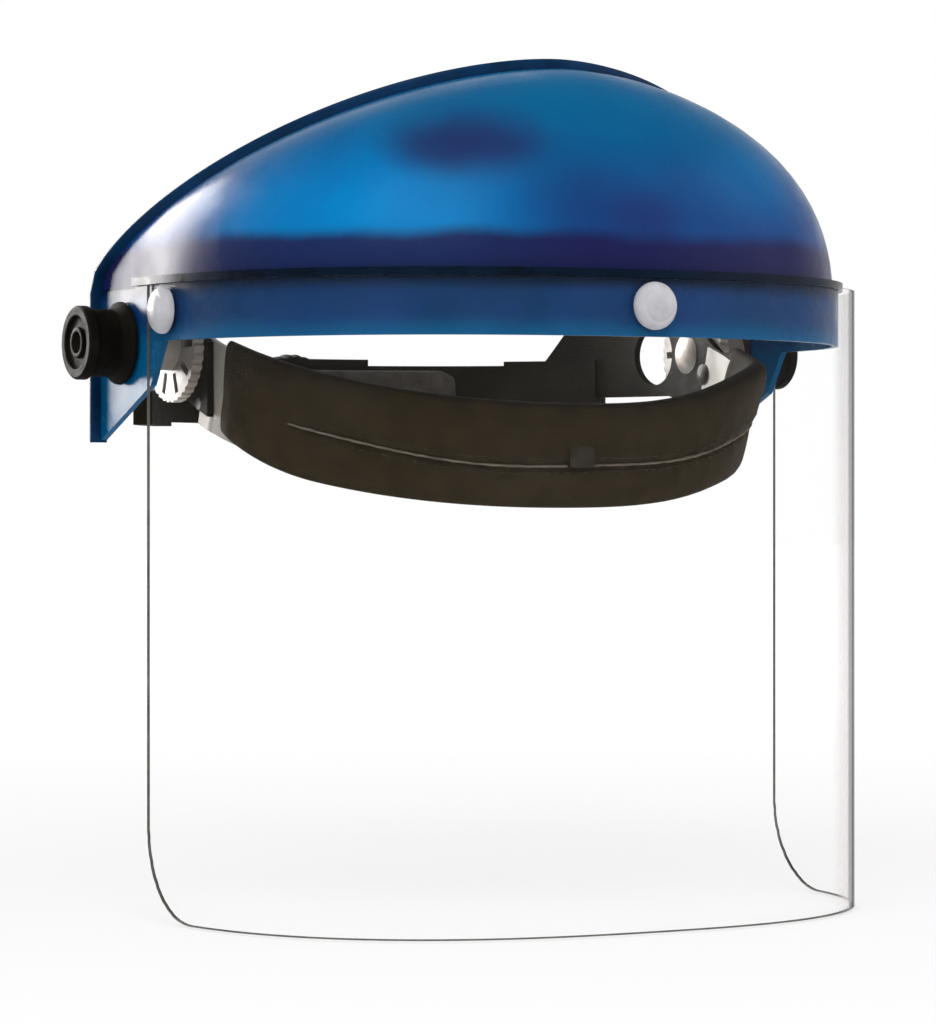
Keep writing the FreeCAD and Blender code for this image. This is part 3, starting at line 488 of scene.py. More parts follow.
crown = {
    "halfWidth": 118.7 * mm, "rearY": 20 * mm, "bandEndY": -21 * mm, "bandDepth": 113.5 * mm,
    "fullness": 2.26, "wall": 2.2 * mm, "ledgeLow": 18.2 * mm, "ledgeHigh": 20.8 * mm,
    "ledgeReach": 1.4 * mm, "ledgeRoot": 4.0 * mm, "ledgeRearY": -9 * mm,
    "domeBase": 17 * mm, "domeWall": 2 * mm, "inset": 1.9 * mm, "earInset": 0.3 * mm,
    "apexY": -77 * mm, "apexZ": 88 * mm, "earZ": 22.5 * mm, "rimFullness": 1.8, "rimLift": 1.03,
    "roundness": 2.05, "beadOut": 3.4 * mm, "beadIn": 0.5 * mm, "beadWidth": 2.0 * mm,
    "earLow": -32 * mm, "earFrontZ": -14 * mm, "earFrontY": -30 * mm, "flapInset": 0.06 * mm,
    "domeRows": 17, "domeColumns": 121, "beadSides": 16, "beadSquare": 0.5, "beadDrops": 8,
}


def crownPlan(steps=48):
    c = crown
    return ovalPlan(c["halfWidth"], c["bandDepth"], c["fullness"], c["bandEndY"], steps)


# The dome's outer face, row by row from the ledge to the rear rim
def domeRows():
    c = crown
    rowCount, columnCount = c["domeRows"], c["domeColumns"]
    run = [Vector((c["halfWidth"], c["rearY"]))] + crownPlan() + [Vector((-c["halfWidth"], c["rearY"]))]
    base = evenly(run, columnCount)
    foot = []
    for point, normal in zip(base, outwardNormals(base)):
        forward = min(1.0, (c["rearY"] - point.y) / (c["rearY"] - c["bandEndY"]))
        inset = c["earInset"] + (c["inset"] - c["earInset"]) * forward
        foot.append((point - normal * inset).to_3d() + Vector((0, 0, c["domeBase"])))
    rim = []
    for point in ovalPlan(c["halfWidth"] - c["earInset"], 1.0, c["rimFullness"], 0.0, 120):
        forward = -point.y
        rim.append(Vector((point.x, c["rearY"] - (c["rearY"] - c["apexY"]) * forward,
                           c["earZ"] + (c["apexZ"] - c["earZ"]) * forward ** c["rimLift"])))
    rim = evenly(rim, columnCount)
    rows = []
    for row in range(rowCount):
        angle = math.pi / 2 * row / (rowCount - 1)
        out = math.cos(angle) ** (2 / c["roundness"]) if row < rowCount - 1 else 0.0
        up = math.sin(angle) ** (2 / c["roundness"])
        rows.append([Vector((r.x + (f.x - r.x) * out, r.y + (f.y - r.y) * out, f.z + (r.z - f.z) * up))
                     for f, r in zip(foot, rim)])
    return rows


def gridNormals(rows):
    normals = []
    for r, row in enumerate(rows):
        above, below = rows[min(r + 1, len(rows) - 1)], rows[max(r - 1, 0)]
        line = []
        for k in range(len(row)):
            along = row[min(k + 1, len(row) - 1)] - row[max(k - 1, 0)]
            line.append(along.cross(above[k] - below[k]).normalized())
        normals.append(line)
    return normals


# A closed shell: rows of points outside, and the same rows moved in by the wall
def shellOfRows(rows, wall):
    normals = gridNormals(rows)
    columns = len(rows[0])
    side = 1.0 if normals[0][columns // 2].dot(rows[0][columns // 2]) > 0 else -1.0
    points = [p for row in rows for p in row]
    points += [p - n * wall * side for row, line in zip(rows, normals) for p, n in zip(row, line)]
    size = len(rows) * columns
    faces = []
    for r in range(len(rows) - 1):
        for k in range(columns - 1):
            a, b = r * columns + k, r * columns + k + 1
            faces.append((a, b, b + columns, a + columns))
            faces.append((size + a, size + a + columns, size + b + columns, size + b))
    rimIds = list(range(columns))
    rimIds += [r * columns + columns - 1 for r in range(1, len(rows))]
    rimIds += [(len(rows) - 1) * columns + k for k in reversed(range(columns - 1))]
    rimIds += [r * columns for r in reversed(range(1, len(rows) - 1))]
    for index, here in enumerate(rimIds):
        there = rimIds[(index + 1) % len(rimIds)]
        faces.append((here, size + here, size + there, there))
    return points, faces, [[n * side for n in line] for line in normals]


# The band with its ledge, one section swept round the crown's plan
def bandRings():
    c = crown
    section = [(0.0, 0.0), (0.0, c["ledgeLow"]), (c["ledgeReach"], c["ledgeLow"]),
               (c["ledgeReach"], c["ledgeHigh"]), (-c["ledgeRoot"], c["ledgeHigh"]),
               (-c["ledgeRoot"], c["ledgeLow"]), (-c["wall"], c["ledgeLow"]), (-c["wall"], 0.0)]
    plan = crownPlan(60)
    plan = [Vector((c["halfWidth"], c["ledgeRearY"]))] + plan + [Vector((-c["halfWidth"], c["ledgeRearY"]))]
    return [[Vector((p.x + n.x * out, p.y + n.y * out, z)) for out, z in section]
            for p, n in zip(plan, outwardNormals(plan))]


def earFlapRings(side):
    c = crown
    low = c["earLow"]
    outline = [(c["earFrontY"], 0.0), (c["bandEndY"], c["earFrontZ"]), (c["rearY"], low),
               (c["rearY"], c["domeBase"] + 0.4 * mm), (c["earFrontY"], c["domeBase"] + 0.4 * mm)]
    return [[Vector((side * x, y, z)) for y, z in outline]
            for x in (c["halfWidth"] - c["wall"] + c["flapInset"], c["halfWidth"] - c["flapInset"])]


# The bead, a squarish bar up one ear flap, along the rear rim and down the other
def beadRings(rows, normals):
    c = crown
    tall = c["domeBase"] - c["earLow"]
    drop = [c["earLow"] + tall * k / c["beadDrops"] for k in range(c["beadDrops"] + 1)]
    left = [(Vector((c["halfWidth"], c["rearY"], z)), Vector((1, 0, 0))) for z in drop]
    right = [(Vector((-c["halfWidth"], c["rearY"], z)), Vector((-1, 0, 0))) for z in reversed(drop)]
    path = left + list(zip(rows[-1], normals[-1]))[1:-1] + right
    height = c["beadOut"] + c["domeWall"] + c["beadIn"]
    rings = []
    for index, (point, normal) in enumerate(path):
        run = path[min(index + 1, len(path) - 1)][0] - path[max(index - 1, 0)][0]
        back = run.cross(normal).normalized()
        if back.y < 0:
            back = -back
        ring = []
        for k in range(c["beadSides"]):
            angle = 2 * math.pi * k / c["beadSides"]
            across = squared(math.cos(angle), c["beadSquare"])
            deep = squared(math.sin(angle), c["beadSquare"])
            ring.append(point + normal * (c["beadOut"] - height / 2 + across * height / 2)
                        + back * (c["beadIn"] - c["beadWidth"] / 2 + deep * c["beadWidth"] / 2))
        rings.append(ring)
    return rings


def buildCrown():
    rows = domeRows()
    c = crown
    points, faces, normals = shellOfRows(rows, c["domeWall"])
    bandFrom = len(faces)
    addSweep(points, faces, bandRings())
    bandTo = len(faces)
    first = c["ledgeLow"] - 0.1 * mm
    for side in (1, -1):
        addSweep(points, faces, earFlapRings(side))
    onLedge = [1 if bandFrom <= index < bandTo and all(points[k].z > first for k in face) else 0
               for index, face in enumerate(faces)]
    shell = makePiece("crownMoulding", points, faces, ["crownBlue", "beadBlue"], "shield", 30,
                      onLedge)
    softenEdges(shell, 0.35 * mm)
    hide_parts("crown")
    bead = sweptPiece("crownRimBead", beadRings(rows, normals), "rimBlue", "shield")
    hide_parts("crown")
    print("crown built:", len(shell.data.polygons), "faces")


buildCrown()


# Visor sheet

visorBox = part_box("visor")
visor = {
    "halfWidth": visorBox[1][0], "depth": visorBox[1][1] - visorBox[0][1], "fullness": 2.55,
    "rearY": visorBox[1][1], "low": visorBox[0][2], "high": visorBox[1][2],
    "thickness": 1.0 * mm, "corner": 30 * mm, "brightEdge": 0.45 * mm,
    "middleColumns": 131, "cornerSteps": 24, "planPoints": 801,
    "rows": 8,  # the first and last are narrow, for the edge that shows through the sheet
}


def buildVisor():
    v = visor
    plan = evenly(ovalPlan(v["halfWidth"], v["depth"], v["fullness"], v["rearY"], 160), v["planPoints"])
    normals = outwardNormals(plan)
    length = sum((b - a).length for a, b in zip(plan, plan[1:]))
    corner, steps, count, rows = v["corner"], v["cornerSteps"], v["middleColumns"], v["rows"]
    turn = [corner * (1 - math.cos(math.pi / 2 * k / steps)) for k in range(steps + 1)]
    stations = list(turn)
    stations += [corner + (length - 2 * corner) * (k + 1) / (count + 1) for k in range(count)]
    stations += [length - s for s in reversed(turn)]
    outer, inner = [], []
    for s in stations:
        index = min(int(round(s / length * (len(plan) - 1))), len(plan) - 1)
        inward = corner - min(s, length - s, corner)
        low = v["low"] + corner - math.sqrt(max(corner ** 2 - inward ** 2, 0.0))
        for r in range(rows):
            z = low + (v["high"] - low) * (r - 1) / (rows - 3)
            z = min(max(z, low), v["high"])
            z += v["brightEdge"] if r == 1 else -v["brightEdge"] if r == rows - 2 else 0.0
            point = plan[index].to_3d() + Vector((0, 0, z))
            outer.append(point)
            inner.append(point - normals[index].to_3d() * v["thickness"])
    points = outer + inner
    size = len(outer)
    faces, kinds = [], []
    for k in range(len(stations) - 1):
        for r in range(rows - 1):
            a, b = k * rows + r, (k + 1) * rows + r
            faces += [(a, b, b + 1, a + 1), (size + a, size + a + 1, size + b + 1, size + b)]
            kinds += [1, 1] if r == 0 else [0, 0]
    border = [k * rows for k in range(len(stations))]
    border += [(len(stations) - 1) * rows + r for r in range(1, rows)]
    border += [k * rows + rows - 1 for k in reversed(range(len(stations) - 1))]
    border += [r for r in reversed(range(1, rows - 1))]
    for index, here in enumerate(border):
        there = border[(index + 1) % len(border)]
        faces.append((here, size + here, size + there, there))
        kinds.append(1)
    sheet = makePiece("visorSheet", points, faces, ["visorClear", "visorEdge"], "shield", 40,
                      kinds)
    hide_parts("visor")
    print("visor built:", len(faces), "faces")


buildVisor()


# Padding: a coarse copy is blown up as cloth, and the fine mesh takes its shape

def evenRing(halfOut, halfUp, power, count):
    fine = []
    for k in range(1441):
        angle = 2 * math.pi * k / 1440
        fine.append(Vector((squared(math.cos(angle), 2 / power) * halfOut,
                            squared(math.sin(angle), 2 / power) * halfUp)))
    return evenly(fine, count + 1)[:count]


# How far each point of the coarse sweep moves when it is blown up, no more than cap
def puffed(rings, held, pressure, frames, cap):
    size = len(rings[0])
    points, faces = [], []
    addSweep(points, faces, rings)
    mesh = bpy.data.meshes.new("puffTest")
    mesh.from_pydata([tuple(p) for p in points], [], faces)
    blank = addObject("puffTest", mesh)
    group = blank.vertex_groups.new(name="held")
    group.add([index for index, keep in enumerate(held) if keep], 1.0, "REPLACE")
    cloth = blank.modifiers.new("cloth", "CLOTH")
    cloth.settings.use_pressure = True
    cloth.settings.uniform_pressure_force = pressure
    cloth.settings.effector_weights.gravity = 0.0
    cloth.settings.vertex_group_mass = "held"
    cloth.settings.quality = 6
    cloth.point_cache.frame_start = 1
    cloth.point_cache.frame_end = frames
    for frameNumber in range(1, frames + 1):
        scene.frame_set(frameNumber)
    blown = blank.evaluated_get(bpy.context.evaluated_depsgraph_get()).to_mesh()
    moves = []
    for vertex, start in zip(blown.vertices, points):
        move = Vector(vertex.co) - start
        moves.append(move * min(1.0, cap / max(move.length, 1e-9)))
    bpy.data.objects.remove(blank)
    scene.frame_set(1)
    print("puffed", len(points), "points, most", round(max(m.length for m in moves) / mm, 2), "mm")
    return [moves[k * size:(k + 1) * size] for k in range(len(rings))]


# The coarse moves, read between their points
def moveAt(moves, along, around):
    row = min(int(along * (len(moves) - 1)), len(moves) - 2)
    rowShare = along * (len(moves) - 1) - row
    size = len(moves[0])
    column = int(around * size) % size
    columnShare = around * size - int(around * size)
    first = moves[row][column].lerp(moves[row][(column + 1) % size], columnShare)
    second = moves[row + 1][column].lerp(moves[row + 1][(column + 1) % size], columnShare)
    return first.lerp(second, rowShare)


# Sweatband: a padded brown wrap folded round the brow band

sweat = {
    "halfWidth": 95.5 * mm, "frontY": -83.6 * mm, "endY": -9 * mm, "fullness": 2.3, "cutY": -23 * mm,
    "tiltDeg": 17.8, "leanDeg": 16.0, "centreZ": -12 * mm, "height": 28 * mm, "edge": 3.3 * mm,
    "thickness": 3.3 * mm, "ring": 96, "stations": 190, "coarseRing": 32, "coarseStations": 96,
    "seamRise": -2.0 * mm, "seamWidth": 1.3 * mm, "seamDepth": 1.3 * mm, "lap": 0.7 * mm, "lapReach": 9 * mm,
    "pucker": 0.22 * mm, "puckerRate": 190, "puckerReach": 5 * mm, "ripple": 0.22 * mm, "swell": 0.3 * mm,
    "pressure": 4.0, "frames": 20, "cap": 1.3 * mm, "seamHold": 1.6 * mm, "edgeHold": 1.5 * mm,
    "scoop": 0.8 * mm, "lowTaper": 3.6 * mm, "taperShare": 0.16, "flare": 0.10,
    "lift": 3.6 * mm, "liftShare": 0.19, "liftReach": 0.13, "looseFlare": 0.17,  # how it rides up on one side
}


def browPoint(plan, rise):
    s = sweat
    slope, lean = math.tan(math.radians(s["tiltDeg"])), math.tan(math.radians(s["leanDeg"]))
    height = s["centreZ"] - s["height"] / 2 + (plan.y - s["endY"]) * slope + rise
    return Vector((plan.x, plan.y - rise * lean, height))


# The part of the band's plan that the wrap covers: points and outward normals
def coveredPlan():
    s = sweat
    plan = evenly(ovalPlan(s["halfWidth"], s["endY"] - s["frontY"], s["fullness"], s["endY"], 160), 1201)
    return [(p, n) for p, n in zip(plan, outwardNormals(plan)) if p.y <= s["cutY"]]


covered = coveredPlan()


def browStation(index, last):
    return covered[round((len(covered) - 1) * index / last)]


def seamLine(share):
    s = sweat
    return s["seamRise"] + 0.5 * mm * math.sin(share * 17) - 1.2 * mm * math.cos((share - 0.5) * 2 * math.pi)


# 1 over the front, fading out before both ends of the wrap
def seamFade(share):
    near = min(share, 1 - share)
    return min(1.0, max(0.0, (near - 0.10) / 0.04))


# The wrap dips at the middle of its top edge and narrows underneath towards its ends
def wrapPoint(station, share, out, rise):
    s = sweat
    plan, normal = station
    high = max(rise, 0.0) / (s["height"] / 2)
    low = max(-rise, 0.0) / (s["height"] / 2)
    middle = math.sin(math.pi * share) ** 2
    nearEnd = max(0.0, 1 - min(share, 1 - share) / s["taperShare"]) ** 2
    rise = rise - s["scoop"] * high ** 2 * middle + s["lowTaper"] * low ** 2 * nearEnd
    lift = math.exp(-((share - s["liftShare"]) / s["liftReach"]) ** 2)
    rise = rise + s["lift"] * lift * (1.4 if rise > 0 else 0.8)
    outer = min(max(out / s["thickness"], 0.0), 1.0)
    out = out + max(rise, 0.0) * (s["flare"] * (1 - middle * 0.6) + s["looseFlare"] * lift * outer)
    flat = Vector((plan.x + normal.x * out, plan.y + normal.y * out))
    return browPoint(flat, s["height"] / 2 + rise)


def wrapRings(count, ringCount):
    s = sweat
    section = evenRing(s["thickness"], s["height"] / 2 + s["edge"], 3.2, ringCount)
    rings = []
    for index in range(count):
        share = index / (count - 1)
        slim = min(1.0, 0.55 + min(share, 1 - share) * 22)  # thin where it closes round the band
        station = browStation(index, count - 1)
        rings.append([wrapPoint(station, share, p.x * slim, p.y) for p in section])
    return rings, section


def buildSweatband():
    s = sweat
    coarse, section = wrapRings(s["coarseStations"], s["coarseRing"])
    last = s["coarseStations"] - 1
    held = []
    for index in range(s["coarseStations"]):
        share = index / last
        for p in section:
            onSeam = p.x > 0 and abs(p.y - seamLine(share)) < s["seamHold"] and 0.1 < share < 0.9
            onEdge = abs(p.y) > s["height"] / 2 + s["edgeHold"]
            held.append(onSeam or onEdge or index in (0, 1, last - 1, last))
    moves = puffed(coarse, held, s["pressure"], s["frames"], s["cap"])
    rings, section = wrapRings(s["stations"], s["ring"])
    for index, ring in enumerate(rings):
        share = index / (s["stations"] - 1)
        fade = seamFade(share)
        normal = browStation(index, s["stations"] - 1)[1].to_3d()
        for k, p in enumerate(section):
            ring[k] = ring[k] + moveAt(moves, share, k / s["ring"])
            ripple = noise.noise(Vector((share * 46, p.y * 130, 3.0)))
            push = ripple * s["ripple"] + s["swell"] * noise.noise(Vector((share * 14, p.y * 40, 9.0)))
            if p.x > 0:
                gap = p.y - seamLine(share)
                groove = math.exp(-((gap + 0.6 * mm) / s["seamWidth"]) ** 2)
                upper = max(0.0, 1 - gap / s["lapReach"]) if gap > 0 else 0.0
                push += fade * (s["lap"] * upper - s["seamDepth"] * groove)
                gather = math.sin(share * s["puckerRate"] + 2 * ripple)
                push += s["pucker"] * gather * math.exp(-abs(gap) / s["puckerReach"]) * fade
            ring[k] = ring[k] + normal * push
    wrap = sweptPiece("sweatbandWrap", rings, "sweatLeather", "headgear")
    roundOver(wrap)
    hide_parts("sweatband")
    print("sweatband built:", len(wrap.data.polygons), "faces")


seam = {
    "steps": 400, "strip": (44, 357), "stitched": (58, 343, 3),  # steps along the wrap where each runs
    "section": ((2.0, -0.28), (3.70, -0.30), (3.92, -0.1), (3.88, 0.14), (2.0, 0.26)),  # out and up, mm
    "pitch": 3.4 * mm, "stitchLength": 1.0 * mm, "stitchRadius": 0.24 * mm, "stitchOff": 2.3 * mm,
}


def offBand(index, rise, out):
    return wrapPoint(browStation(index, seam["steps"]), index / seam["steps"], out, rise)


# The pale raw edge of the lapped layer, sinking into the wrap at both ends
def buildSeamStrip():
    rings = []
    for index in range(*seam["strip"]):
        share = index / seam["steps"]
        edge = seamLine(share) + 0.06 * mm * math.sin(share * 260)
        sink = 0.75 * (1 - seamFade(share)) + 0.9 * max(0.0, 1 - (min(share, 1 - share) - 0.11) / 0.012)
        rings.append([offBand(index, edge + up * mm, (out - sink) * mm) for out, up in seam["section"]])
    sweptPiece("sweatbandSeam", rings, "seamFoam", "headgear")


def pathObject(name, points):
    mesh = bpy.data.meshes.new(name)
    mesh.from_pydata([tuple(p) for p in points], [(k, k + 1) for k in range(len(points) - 1)], [])
    return addObject(name, mesh)


def startTree(name, numbers):
    tree = bpy.data.node_groups.new(name, "GeometryNodeTree")
    tree.interface.new_socket("Geometry", in_out="INPUT", socket_type="NodeSocketGeometry")
    for label, kind in numbers.items():
        tree.interface.new_socket(label, in_out="INPUT", socket_type="NodeSocket" + kind)
    tree.interface.new_socket("Geometry", in_out="OUTPUT", socket_type="NodeSocketGeometry")
    return tree, tree.nodes.new("NodeGroupInput").outputs


# A ball drawn out along Z to half the length given each way
def capsule(tree, segments, rings, radius, length):
    ball = addNode(tree, "GeometryNodeMeshUVSphere", {"Segments": segments, "Rings": rings, "Radius": radius})
    ratio = mathNode(tree, "DIVIDE", length, radius)
    scale = addNode(tree, "ShaderNodeCombineXYZ", {"X": 1.0, "Y": 1.0, "Z": ratio}).outputs[0]
    return addNode(tree, "GeometryNodeTransform", {"Geometry": ball.outputs[0], "Scale": scale}).outputs[0]


def endTree(tree, placed, material):
    real = addNode(tree, "GeometryNodeRealizeInstances", {0: placed.outputs[0]})
    painted = addNode(tree, "GeometryNodeSetMaterial", {"Geometry": real.outputs[0], "Material": material})
    result = tree.nodes.new("NodeGroupOutput")
    tree.links.new(painted.outputs[0], result.inputs[0])
    return tree


# Stitches laid along a path: capsule copies turned to follow it
def stitchTree(material):
    tree, given = startTree("stitchesAlongPath", {"Pitch": "Float", "Length": "Float", "Radius": "Float"})
    curve = addNode(tree, "GeometryNodeMeshToCurve", {0: given["Geometry"]})
    spaced = addNode(tree, "GeometryNodeResampleCurve", {"Curve": curve.outputs[0], "Length": given["Pitch"]},
                     {"mode": "LENGTH"})
    points = addNode(tree, "GeometryNodeCurveToPoints", {"Curve": spaced.outputs[0]}, {"mode": "EVALUATED"})
    placed = addNode(tree, "GeometryNodeInstanceOnPoints", {
        "Points": points.outputs["Points"], "Rotation": points.outputs["Rotation"],
        "Instance": capsule(tree, 6, 5, given["Radius"], given["Length"])})
    return endTree(tree, placed, material)


# Grip ribs round a knob: one rounded bar copied round the knob's axis
def ringTree(material):
    tree, given = startTree("ribsRoundKnob", {"Count": "Int", "Ring Radius": "Float", "Rib Radius": "Float",
                                              "Rib Length": "Float"})
    circle = addNode(tree, "GeometryNodeMeshCircle",
                     {"Vertices": given["Count"], "Radius": given["Ring Radius"]})
    placed = addNode(tree, "GeometryNodeInstanceOnPoints", {
        "Points": circle.outputs[0],
        "Instance": capsule(tree, 8, 7, given["Rib Radius"], given["Rib Length"])})
    return endTree(tree, placed, material)


# Run a geometry tree on an object and keep the result as a plain mesh piece
def grow(source, tree, inputs, name, body, place=None):
    modifier = source.modifiers.new("grow", "NODES")
    modifier.node_group = tree
    ids = {item.name: item.identifier for item in tree.interface.items_tree
           if item.item_type == "SOCKET" and item.in_out == "INPUT"}
    for label, value in inputs.items():
        modifier[ids[label]] = value
    graph = bpy.context.evaluated_depsgraph_get()
    mesh = bpy.data.meshes.new_from_object(source.evaluated_get(graph), depsgraph=graph)
    bpy.data.objects.remove(source)
    if place is not None:
        mesh.transform(place)
    mesh.name = name
    for polygon in mesh.polygons:
        polygon.use_smooth = True
    return addPiece(name, mesh, body)


def buildStitches():
    tree = stitchTree(finish["threadBrown"])
    for label, side, out in (("Upper", 1, 3.95), ("Lower", -1, 3.15)):
        points = [offBand(index, seamLine(index / seam["steps"]) + side * seam["stitchOff"], out * mm)
                  for index in range(*seam["stitched"])]
        grow(pathObject("stitchPath" + label, points), tree,
             {"Pitch": seam["pitch"], "Length": seam["stitchLength"], "Radius": seam["stitchRadius"]},
             "sweatbandStitches" + label, "headgear")
    print("stitches laid")


buildSweatband()
buildSeamStrip()
buildStitches()


# Nape pad

napePad = {"centreY": 8 * mm, "inner": 88.6 * mm, "outer": 94.5 * mm, "halfDeg": 33.5, "low": -22.2 * mm,
           "high": -4.4 * mm, "ring": 28, "stations": 60, "channels": 5, "channelDepth": 0.28}


def buildNapePad():
    n = napePad
    middle, half = (n["low"] + n["high"]) / 2, (n["high"] - n["low"]) / 2
    wall = (n["outer"] - n["inner"]) / 2
    rings = []
    for index in range(n["stations"]):
        share = index / (n["stations"] - 1)
        angle = math.radians(90 - n["halfDeg"] + 2 * n["halfDeg"] * share)
        endRound = min(1.0, 0.5 + min(share, 1 - share) * 9)
        puff = 1 - n["channelDepth"] * math.exp(-((share * n["channels"]) % 1 - 0.5) ** 2 / 0.006)
        ring = []
        for k in range(n["ring"]):
            turn = 2 * math.pi * k / n["ring"]
            side, up = squared(math.cos(turn), 0.55), squared(math.sin(turn), 0.5)
            radius = (n["inner"] + n["outer"]) / 2 + side * wall * (endRound * puff if side < 0 else 1.0)
            z = middle + up * half * min(1.0, 0.7 + min(share, 1 - share) * 6)
            ring.append(Vector((radius * math.cos(angle), n["centreY"] + radius * math.sin(angle), z)))
        rings.append(ring)
    pad = sweptPiece("napeCushion", rings, "padFoam", "headgear")
    roundOver(pad)
    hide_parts("nape_pad")


buildNapePad()
print("pads built")


# Knobs and buttons, turned with rounded edges

tension = {"skirt": 13.5, "waist": 11.0, "flange": 12.0, "length": 16.0, "flangeLength": 3.4,
           "recess": 8.6, "hub": 5.0, "recessDepth": 1.4, "bore": 3.2}


def knobProfile():
    t = tension
    start = t["length"] - t["flangeLength"]
    return [(t["bore"], 0.0), (t["skirt"], 0.0), (t["skirt"], 0.9), (t["skirt"] - 0.4, 1.5),
            (t["waist"] + 0.8, 2.9), (t["waist"], 3.9), (t["waist"], start - 1.6),
            (t["waist"] + 0.3, start - 0.6), (t["flange"], start), (t["flange"], t["length"] - 0.7),
            (t["flange"] - 0.7, t["length"]), (t["recess"] + 0.3, t["length"]),
            (t["recess"], t["length"] - 0.3), (t["recess"], t["length"] - t["recessDepth"]),
            (t["hub"], t["length"] - t["recessDepth"]), (t["hub"], t["length"] - 0.5),
            (t["hub"] - 0.3, t["length"] - 0.2), (t["hub"] - 1.4, t["length"] - 0.2),
            (t["hub"] - 2.0, t["length"] - 2.0), (0.0, t["length"] - 2.0)]


def buildKnobs():
    for label, side in (("left", 1), ("right", -1)):
        node = "tension_knob_" + label
        low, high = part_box(node)
        base = low[0] if side > 0 else high[0]
        points, faces = lathe([(r * mm, h * mm) for r, h in knobProfile()], (base, 0, 0), (side, 0, 0), 72)
        knob = makePiece("tensionKnob" + label.title(), points, faces, ["knobBlack"], node, 28)
        softenEdges(knob, 0.22 * mm, 2, 25)
        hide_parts(node)


buttons = {"head": 7.5, "rim": 0.8, "height": 4.8, "shank": 2.8, "barb": 3.6, "depth": 5.2, "sideY": -34,
           "groove": 5.1, "grooveDepth": 0.32, "grooveWidth": 0.5}


def buttonProfile():
    b = buttons
    depth, rise, steps = b["depth"], b["height"] - b["rim"], 28
    profile = [(0.0, -depth - 2.0), (b["shank"], -depth - 2.0), (b["barb"], -depth),
               (b["shank"], -depth + 0.05), (b["shank"], -0.6), (b["head"] - 0.5, -0.6),
               (b["head"], -0.2), (b["head"], b["rim"] - 0.2)]
    for k in range(1, steps + 1):
        angle = math.pi / 2 * k / steps
        radius = b["head"] * math.cos(angle) ** 0.92 if k < steps else 0.0
        groove = b["grooveDepth"] * math.exp(-((radius - b["groove"]) / b["grooveWidth"]) ** 2)
        profile.append((radius, b["rim"] - 0.2 + rise * math.sin(angle) ** 1.05 - groove))
    return profile


def buildButtons():
    low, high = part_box("snap_buttons")
    seatZ = (low[2] + high[2]) / 2
    reach = buttons["height"] * mm
    sideY = buttons["sideY"] * mm
    seats = [("Front", (0, low[1] + reach, seatZ), (0, -1, 0)),
             ("Left", (high[0] - reach, sideY, seatZ), (1, 0, 0)),
             ("Right", (low[0] + reach, sideY, seatZ), (-1, 0, 0))]
    for label, seat, axis in seats:
        points, faces = lathe([(r * mm, h * mm) for r, h in buttonProfile()], seat, axis, 48)
        button = makePiece("snapButton" + label, points, faces, ["buttonWhite"], "shield", 30)
        softenEdges(button, 0.15 * mm)
        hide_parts("snap_buttons")


sizeKnob = {"ribs": 26, "ribRadius": 1.15 * mm, "inset": 1.1 * mm, "ribShare": 0.44}


def buildSizeKnob():
    low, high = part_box("ratchet_knob")
    centre = Vector(((low[0] + high[0]) / 2, low[1], (low[2] + high[2]) / 2))
    length, radius = high[1] - low[1], (high[0] - low[0]) / 2
    core = radius - sizeKnob["inset"]
    profile = [(0.0, 0.0), (core, 0.0), (core, length - 1.6 * mm), (core - 0.7 * mm, length - 0.5 * mm),
               (core - 1.8 * mm, length), (radius * 0.62, length), (radius * 0.56, length - 0.9 * mm),
               (radius * 0.30, length - 1.2 * mm), (0.0, length - 1.2 * mm)]
    points, faces = lathe(profile, centre, (0, 1, 0), 72)
    knob = makePiece("sizeKnobBody", points, faces, ["knobBlack"], "size_knob", 28)
    softenEdges(knob, 0.25 * mm)
    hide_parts("ratchet_knob")
    place = Matrix.Translation(centre + Vector((0, length / 2, 0))) @ Matrix.Rotation(-math.pi / 2, 4, "X")
    seed = pathObject("ribSeed", [(0, 0, 0), (0, 0, 0.001)])
    grow(seed, ringTree(finish["knobBlack"]),
         {"Count": sizeKnob["ribs"], "Ring Radius": core, "Rib Radius": sizeKnob["ribRadius"],
          "Rib Length": length * sizeKnob["ribShare"]}, "sizeKnobRibs", "size_knob", place)


buildKnobs()
buildButtons()
buildSizeKnob()
print("knobs and buttons built")


# Finishes on the frame's own nodes

nodesWith = {
    "strapDark": ("crown_strap", "nape_strap", "side_arm"), "bandGrey": ("brow_band",),
    "pegBlack": ("sweatband_peg", "band_rivets", "ratchet_pinion"), "boltSteel": ("pivot_bolt",),
    "discGrey": ("pivot_disc", "pivot_spacer"), "buttonWhite": ("snap_buttons", "button_washers"),
    "knobBlack": ("ratchet_housing", "ratchet_cover", "ratchet_knob", "tension_knob"),
    "padFoam": ("nape_pad",), "washerFibre": ("ear_washers",), "nutBrass": ("knob_nut",),
    "crownBlue": ("crown",), "visorClear": ("visor",), "sweatLeather": ("sweatband",),
}
nodeFinish = {start: name for name, starts in nodesWith.items() for start in starts}

# a node takes the finish of the longest start that its name has
for name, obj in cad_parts.items():
    key = max((k for k in nodeFinish if name.startswith(k)), key=len)
    for materialSlot in obj.material_slots:
        materialSlot.material = finish[nodeFinish[key]]
print("nodes finished")


# Floor, light and camera

stage = {"floorDrop": 0.6 * mm, "floorSize": 14.0, "floorWhite": 0.86, "cameraWhite": 0.60, "floorGlow": 1.08,
         "fadeFrom": 0.35, "fadeTo": 1.4,  # beyond this the floor is as white as the background
         "ambient": 0.55, "overhead": 0.24, "overheadFrom": 0.15, "overheadTo": 0.75}


# 1 for rays from the camera, a mirror or a clear part, 0 for light
def rayIsSeen(tree):
    path = tree.nodes.new("ShaderNodeLightPath").outputs
    first = mathNode(tree, "MAXIMUM", path["Is Camera Ray"], path["Is Glossy Ray"])
    return mathNode(tree, "MAXIMUM", first, path["Is Transmission Ray"])


